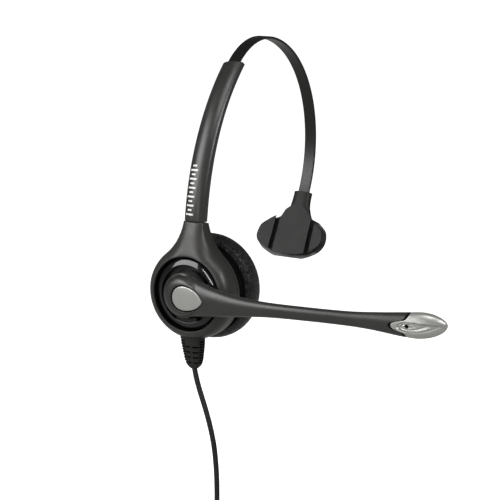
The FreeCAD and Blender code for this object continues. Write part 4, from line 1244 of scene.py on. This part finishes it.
def make_temple_pad():
    """Rubber pad: base sheet, centre panel, two wings and a rounded neck."""
    right = [Vector((pad_half(v), v)) for v in even(76, 10.5, PAD_END_V)]
    sheet = ((0.25, -0.05), (0.0, -0.3), (0.0, PAD_FLOOR + 0.1), (0.08, PAD_FLOOR))
    parts = [
        island("pad_base", mirrored(right), sheet, MAT["pad"]),
        island("pad_panel", pad_panel_outline(), PAD_BEVEL, MAT["pad"]),
    ]
    for side, inner, drop in ((1, PANEL_RIGHT + GROOVE, 0.5), (-1, GROOVE - PANEL_LEFT, 1.1)):
        outline = pad_wing_outline(side, inner, drop)
        parts.append(island("pad_wing", outline, PAD_BEVEL, MAT["pad"]))
    neck_loops = []
    for v, lift in ((1.5, 0.45), (1.55, 0.15), (1.75, 0.0)) + tuple((v, 0.0) for v in even(26, 2.3, 16.5)):
        loop = []
        half = pad_half(v) - lift
        for k in range(48):
            angle = 2 * math.pi * k / 48
            c, s = math.cos(angle), math.sin(angle)
            x = half * math.copysign(abs(c) ** 0.75, c)
            sink = ease(v, 9.0, 16.0)
            front = mix(-2.95, PAD_FLOOR - 0.3, sink) + lift
            rear = mix(1.9, 0.6, ease(v, 10, 16)) - lift
            out = rear * abs(s) ** 0.8 if s > 0 else front * abs(s) ** 0.8
            loop.append(pad_point(x, v, out))
        neck_loops.append(loop)
    parts.append(rings("pad_neck", neck_loops, MAT["pad"]))
    whole = joined(parts, "rubber_pad")
    return settle(crisp(whole, 35), "band_side", "soft_rubber", "temple_pad")


def chin_v(x):
    """Bottom edge of the pad at x."""
    low, high = 26.0, PAD_END_V
    for _ in range(24):
        middle = (low + high) / 2
        low, high = (middle, high) if pad_half(middle) > abs(x) else (low, middle)
    return low


def cover_outline(inset):
    """Outline of the hard pieces behind the rubber: an arched top and the pad's own sides."""
    right = [Vector((pad_half(v) - inset, v)) for v in even(60, 19.0, PAD_END_V - inset)]
    right = [p for p in right if p.x > 0.3]
    reach = right[0].x - 0.4
    arch = [Vector((x, 16.6 + 2.3 * (x / reach) ** 2)) for x in even(24, reach, -reach)]
    return mirrored(right) + arch


def make_pad_back():
    """Thin hard cover behind the rubber, and the plate between them."""
    levels = ((0.0, -0.04), (0.0, 0.75), (0.12, 1.02), (0.4, 1.2), (2.4, 1.25))
    cover = island("pad_cover", cover_outline(1.0), levels, MAT["satin"])
    plate = island("pad_core", cover_outline(2.6), ((0.0, -0.4), (0.0, 0.6)), MAT["matt"])
    settle(crisp(plate), "band_side", "satin_plastic", "pad_plate")
    return settle(crisp(cover, 40), "band_side", "satin_plastic", "pad_back")


# ================================================================ ear cushion

# (radius, y) round the ring, from its back seam outwards
CUSHION_PROFILE = (
    (18.7, -13.85), (20.6, -13.95), (22.4, -14.0), (23.8, -13.55), (24.9, -12.5), (25.6, -11.0),
    (25.95, -9.0), (25.9, -7.0), (25.5, -5.0), (24.7, -3.3), (23.4, -1.8), (21.6, -0.75),
    (19.6, -0.2), (17.6, -0.25), (15.6, -0.8), (13.8, -1.8), (12.3, -3.2), (11.4, -5.0),
    (11.1, -7.0), (11.3, -8.8), (13.5, -8.95), (16.5, -8.95), (18.7, -8.95), (18.7, -11.4),
)
CUSHION_STEPS = 150
SEAM_Y, INNER_SEAM_R = -13.7, 11.6    # the cloth is held behind the one and inside the other
PUFF_FRAMES = 20
FOLD_COUNTS, FOLD_DEPTH = (37, 53, 71, 29), 0.2


def make_cushion():
    """Leatherette ring cushion: blown up as cloth, then gathered at its back seam."""
    cushion = lathe("leatherette_ring", CUSHION_PROFILE, MAT["leather"], CUSHION_STEPS)
    puff(cushion, pressure=3.0, cap=0.45)
    gather(cushion)
    subdivide(cushion, 1)
    crease(cushion)
    return settle(cushion, "ear_capsule", "leatherette", "ear_cushion")


def puff(piece, pressure, cap):
    """Cloth simulation with air pressure; no point moves more than cap millimetres."""
    before = [v.co.copy() for v in piece.data.vertices]
    group = piece.vertex_groups.new(name="held")
    for v in piece.data.vertices:
        if v.co.y < SEAM_Y * MM or math.hypot(v.co.x, v.co.z) < INNER_SEAM_R * MM:
            group.add([v.index], 1.0, "REPLACE")
    cloth = piece.modifiers.new("cloth", "CLOTH")
    cloth.settings.quality = 6
    cloth.settings.mass = 0.2
    cloth.settings.tension_stiffness = 18
    cloth.settings.compression_stiffness = 18
    cloth.settings.bending_stiffness = 0.4
    cloth.settings.use_pressure = True
    cloth.settings.uniform_pressure_force = pressure
    cloth.settings.vertex_group_mass = "held"
    cloth.settings.effector_weights.gravity = 0
    cloth.collision_settings.use_collision = False
    scene = bpy.context.scene
    cloth.point_cache.frame_start, cloth.point_cache.frame_end = 1, PUFF_FRAMES
    for number in range(1, PUFF_FRAMES + 1):
        scene.frame_set(number)
    apply_modifiers(piece)
    scene.frame_set(1)
    for vertex, start in zip(piece.data.vertices, before):
        move = vertex.co - start
        if move.length > cap * MM:
            vertex.co = start + move * (cap * MM / move.length)
    piece.vertex_groups.clear()
    crisp(piece, 80)


def gather(piece):
    """Soft folds where the cover is drawn in to the back seam."""
    folds = [random.uniform(0, 2 * math.pi) for _ in FOLD_COUNTS]
    for vertex in piece.data.vertices:
        r = math.hypot(vertex.co.x, vertex.co.z) / MM
        y = vertex.co.y / MM
        if r < 18 or y > -6:
            continue
        angle = math.atan2(vertex.co.z, vertex.co.x)
        strength = ease(-y, 6.5, 12.0) * ease(r, 20.5, 23.5)
        wave = sum(math.sin(angle * n + f) for n, f in zip(FOLD_COUNTS, folds)) / 4
        push = FOLD_DEPTH * strength * wave * MM
        vertex.co.x += push * math.cos(angle)
        vertex.co.z += push * math.sin(angle)
        vertex.co.y -= push * 0.9


def subdivide(piece, levels):
    piece.modifiers.new("smooth", "SUBSURF").levels = levels
    piece.modifiers[-1].render_levels = levels
    apply_modifiers(piece)


def crease(piece):
    """Fine wrinkles pressed into the rear flank."""
    texture = bpy.data.textures.new("wrinkles", "CLOUDS")
    texture.noise_scale = 0.0012
    texture.noise_depth = 3
    group = piece.vertex_groups.new(name="rear")
    for vertex in piece.data.vertices:
        r = math.hypot(vertex.co.x, vertex.co.z) / MM
        weight = 0.15 + 0.85 * ease(-vertex.co.y / MM, 6.0, 11.5) * ease(r, 19.5, 22.5)
        group.add([vertex.index], weight, "REPLACE")
    push = piece.modifiers.new("wrinkles", "DISPLACE")
    push.texture = texture
    push.texture_coords = "LOCAL"
    push.strength = 0.3 * MM
    push.mid_level = 0.62
    push.vertex_group = "rear"
    apply_modifiers(piece)
    piece.vertex_groups.clear()
    return crisp(piece, 80)


# ================================================================ strain relief

RELIEF_TOP, RELIEF_END, RELIEF_LEAN = -21.4, -37.7, 1.2
RELIEF_Y_AT, RELIEF_POWER = -25.0, 2.4
SLOT_FROM, SLOT_PITCH, SLOTS, SLOT_HEIGHT, SLOT_DEPTH = -23.3, 1.32, 9, 0.86, 1.5
# (z, half width) across the face and front to back
RELIEF_X = ((-37.7, 1.6), (-37.4, 2.1), (-36.9, 2.75), (-35.9, 3.6), (-34.9, 4.15), (-33.2, 4.75),
            (-31, 5.15), (-29, 5.5), (-25, 6.1), (-21.4, 6.45))
RELIEF_Y = ((-37.7, 1.55), (-37.4, 1.9), (-36.9, 2.3), (-35.9, 2.8), (-34.9, 3.1), (-33.2, 3.4), (-31, 3.6),
            (-29, 3.8), (-25, 4.05), (-21.4, 4.15))
# how far the matt black core lies inside the relief's outline; the core is painted shade that darkens the
# slots
SLOT_SHADE_INSET = 1.0


def relief_loop(z, inset, steps=144):
    """Rounded oval round the cord at a height; inset(degrees) is how far it is cut in."""
    lean = RELIEF_LEAN * clamp((RELIEF_TOP - z) / (RELIEF_TOP - RELIEF_END))
    loop = []
    for k in range(steps):
        degrees = 360 * k / steps
        c, s = math.cos(math.radians(degrees)), math.sin(math.radians(degrees))
        half_x = through(RELIEF_X, z) - inset(degrees)
        half_y = through(RELIEF_Y, z) - inset(degrees)
        size = (abs(c / half_x) ** RELIEF_POWER + abs(s / half_y) ** RELIEF_POWER) ** (-1 / RELIEF_POWER)
        loop.append((lean + size * c, RELIEF_Y_AT + size * s, z))
    return loop


def make_strain_relief():
    """Tapered oval sleeve, slotted front and back and at its sides in turn, over a matt black core of
    painted shade behind the slots.
    """
    levels = [RELIEF_TOP, -22.6]
    slots = []
    for number in range(SLOTS):
        top = SLOT_FROM - number * SLOT_PITCH
        low = top - SLOT_HEIGHT
        slots.append((top, low, number))
        levels += [top + 0.1, top, top - 0.02, low + 0.02, low, low - 0.1]
    levels += [-35.2, -35.7, -36.2, -36.7, -37.0, -37.25, -37.5, -37.64, RELIEF_END]
    loops = []
    for z in levels:
        cut = [number for top, low, number in slots if low + 0.01 < z < top - 0.01]
        loops.append(relief_loop(z, lambda degrees: SLOT_DEPTH * slot_mask(degrees, cut[0]) if cut else 0.0))
    relief = rings("strain_sleeve", loops, MAT["rubber"])
    # matt black core inside the relief: painted shade at the bottom of the slots
    slot_shade_loops = [relief_loop(z, lambda degrees: SLOT_SHADE_INSET) for z in even(20, -23.1, -35.6)]
    settle(rings("slot_shade_core", slot_shade_loops, MAT["matt"]), "ear_side", "soft_rubber")
    return settle(crisp(relief, 32), "ear_side", "soft_rubber", "strain_relief")


def slot_mask(degrees, number):
    """1 inside a slot: at the sides in every row, front and back in every other row from the third."""
    folded = max(degrees, 360 - degrees)
    if folded < 238 or folded > 335:
        return 1.0
    if number % 2 or number == 0:
        return 0.0
    return 1.0 if 244 < folded < 277 or 295 < folded < 334 else 0.0


for make in (
    make_housing, make_turret, make_boom_front, make_boom_back, make_inlay, make_mic_cap, make_mic_gasket,
    make_cap_seam, make_mic_port, make_sleeve, make_index_bars, make_band, make_temple_pad, make_pad_back,
    make_cushion, make_strain_relief,
):
    make()

# ================================================================ cord

CORD_D = 2.6
CORD_ROUTE = (
    (1.2, -25.0, -37.7), (2.1, -25.0, -41.9), (4.1, -25.1, -47.9), (7.5, -25.3, -56.3), (10.7, -25.4, -65.5),
    (13.0, -25.2, -75.6), (14.1, -24.9, -86.8), (14.5, -24.7, -98.2), (14.6, -24.9, -108.6),
    (14.9, -23.5, -115.6),
)
COIL_CENTRE = Vector((14.4, -25.0, -137.0))
COIL_R = 14.3
COIL_STEP = 2.65
COIL_POINTS = 18
# places of the turns in the bundle: (outward, towards +Y), in cord spacings
COIL_PLACES = ((1, 1), (0, 1), (-1, 1), (-1, 0), (0, 0), (1, 0), (1, -1), (0, -1))
COIL_START, COIL_END = 62.0, 104.0
TAIL_ROUTE = (
    (15.4, -28.6, -119.9), (19.8, -31.4, -122.6), (19.4, -34.8, -128.4), (16.9, -36.2, -136.6),
    (15.1, -35.9, -145.2), (14.5, -34.6, -152.6), (14.4, -33.4, -160.0),
)


def coil_turns():
    """Turns that run clockwise and step from place to place in the bundle."""
    turns = len(COIL_PLACES)
    total = COIL_START - COIL_END + 360 * turns
    steps = int(total / 360 * COIL_POINTS)
    points = []
    for step in range(steps + 1):
        travelled = total * step / steps
        at = travelled / 360
        number = min(int(at), turns - 1)
        move = ease(at - number, 0.45, 0.85)
        here, there = COIL_PLACES[number], COIL_PLACES[min(number + 1, turns - 1)]
        out = COIL_R + COIL_STEP * mix(here[0], there[0], move)
        side = COIL_STEP * mix(here[1], there[1], move)
        angle = math.radians(COIL_START - travelled)
        points.append(COIL_CENTRE + Vector((out * math.cos(angle), side, out * math.sin(angle))))
    return points


def make_cord():
    """The lead: hanging stretch, tied coil out of view, and a short tail to the plug."""
    points = [Vector(p) for p in CORD_ROUTE] + coil_turns() + [Vector(p) for p in TAIL_ROUTE]
    curve = bpy.data.curves.new("headset_cord", "CURVE")
    curve.dimensions = "3D"
    spline = curve.splines.new("NURBS")
    spline.points.add(len(points) - 1)
    for place, point in zip(spline.points, points):
        place.co = (*(point * MM), 1)
    spline.order_u = 3
    spline.use_endpoint_u = True
    spline.resolution_u = 6
    curve.bevel_depth = CORD_D / 2 * MM
    curve.bevel_resolution = 5
    curve.use_fill_caps = True
    curve.materials.append(MAT["jacket"])
    cord = bpy.data.objects.new("headset_cord", curve)
    bpy.context.scene.collection.objects.link(cord)
    return settle(cord, "ear_side", "cord_jacket", "cord", "cord_coil", "cord_tail")


cord = make_cord()

# ================================================================ finish

NODE_MATERIALS = {
    "satin": ("ear_housing", "housing_back", "sleeve_outer", "pad_back"),
    "boom": ("boom_outer", "boom_inner"),
    "matt": ("sleeve_liner", "band_stop", "pad_plate", "speaker_cup", "driver_frame", "speaker_grille",
             "cushion_ring", "mic_grille", "plug_shell_front", "plug_shell_back", "plug_carrier"),
    "gloss": ("turret_ring",),
    "silver": ("boom_inlay", "mic_cap"),
    "strip": ("headband",),
    "leather": ("ear_cushion",),
    "pad": ("temple_pad",),
    "rubber": ("strain_relief", "mic_boot", "plug_boot"),
    "jacket": ("cord", "cord_coil", "cord_tail", "cord_inner_end", "mic_wires"),
    "cloth": ("grille_cloth", "coil_tie"),
    "steel": ("housing_screws", "wave_washer", "hub_clip", "mic_capsule", "detent_leaf", "stop_rivet",
              "pad_pin", "driver_magnet", "pivot_pin", "cord_clamp"),
    "gold": ("plug_contacts",),
    "board": ("circuit_board",),
    "cone": ("driver_cone",),
}
for key, names in NODE_MATERIALS.items():
    for name in names:
        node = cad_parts[name]
        node.data.materials.clear()
        node.data.materials.append(MAT[key])


def make_stage():
    """Pale floor that runs up into a pale backdrop all round, lit from within.

    Only camera rays see it, so that it does not light the object from below.
    """
    low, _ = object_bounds()
    floor_z = low.z - 0.012
    steps = 64
    profile = ((0.001, 0.0), (3.0, 0.0), (4.4, 0.3), (5.2, 1.2), (5.4, 7.0), (0.001, 7.0))
    points, faces = [], []
    for r, z in profile:
        for k in range(steps):
            angle = 2 * math.pi * k / steps
            points.append((r * math.cos(angle), r * math.sin(angle), floor_z + z))
    for row in range(len(profile) - 1):
        for k in range(steps):
            a, b = row * steps + k, row * steps + (k + 1) % steps
            faces.append((a, b, b + steps, a + steps))
    mesh = bpy.data.meshes.new("studio")
    mesh.from_pydata(points, [], faces)
    studio = bpy.data.objects.new("studio", mesh)
    bpy.context.scene.collection.objects.link(studio)
    material, shader, _, _ = new_material("studio_white")
    shader.inputs["Base Color"].default_value = (0.9, 0.9, 0.9, 1)
    shader.inputs["Roughness"].default_value = 0.9
    shader.inputs["Emission Color"].default_value = (1, 1, 1, 1)
    shader.inputs["Emission Strength"].default_value = 1.0
    mesh.materials.append(material)
    for ray in ("diffuse", "glossy", "transmission", "shadow"):
        setattr(studio, "visible_" + ray, False)


def make_light(name, place, target, width, height, power, roll=0.0):
    """A soft box aimed at a point, turned by roll degrees about its own axis."""
    data = bpy.data.lights.new(name, "AREA")
    data.energy, data.shape = power, "RECTANGLE"
    data.size, data.size_y = width, height
    light = bpy.data.objects.new(name, data)
    bpy.context.scene.collection.objects.link(light)
    direction = Vector(target) - Vector(place)
    light.location = place
    facing = direction.to_track_quat("-Z", "Y").to_matrix()
    light.rotation_euler = (facing @ Matrix.Rotation(math.radians(roll), 3, "Z")).to_euler()


def make_lighting():
    """Bright below and dim above, a key box front left, a streak and two smaller boxes."""
    world = bpy.data.worlds.new("surround")
    bpy.context.scene.world = world
    world.use_nodes = True
    tree = world.node_tree
    place = tree.nodes.new("ShaderNodeTexCoord")
    split = tree.nodes.new("ShaderNodeSeparateXYZ")
    shades = tree.nodes.new("ShaderNodeValToRGB")
    half = tree.nodes.new("ShaderNodeMapRange")
    half.inputs["From Min"].default_value = -1.0
    tree.links.new(place.outputs["Generated"], split.inputs["Vector"])
    tree.links.new(split.outputs["Z"], half.inputs["Value"])
    tree.links.new(half.outputs["Result"], shades.inputs["Fac"])
    stops = shades.color_ramp.elements
    stops[0].position, stops[1].position = 0.30, 0.80
    stops[0].color = (0.50, 0.50, 0.49, 1)
    stops[1].color = (0.06, 0.06, 0.06, 1)
    stops.new(0.5).color = (0.14, 0.14, 0.138, 1)
    background = tree.nodes["Background"]
    tree.links.new(shades.outputs["Color"], background.inputs["Color"])
    background.inputs["Strength"].default_value = 1.0
    make_light("key_box", (-0.5, -0.75, 0.45), (0, 0, 0.02), 0.6, 0.6, 8.0)
    make_light("streak_box", (0.045, -0.98, 0.2), (0, 0, 0.0), 0.03, 0.5, 1.0, roll=40)
    make_light("upper_box", (0.3, -0.42, 0.9), (0.02, 0, 0.02), 0.4, 0.4, 3.0)
    make_light("right_box", (0.85, -0.28, 0.55), (0.02, 0, 0.0), 0.3, 0.45, 5.0)
    view = bpy.context.scene.view_settings
    view.view_transform = "Standard"
    view.look = "None"


make_stage()
make_lighting()
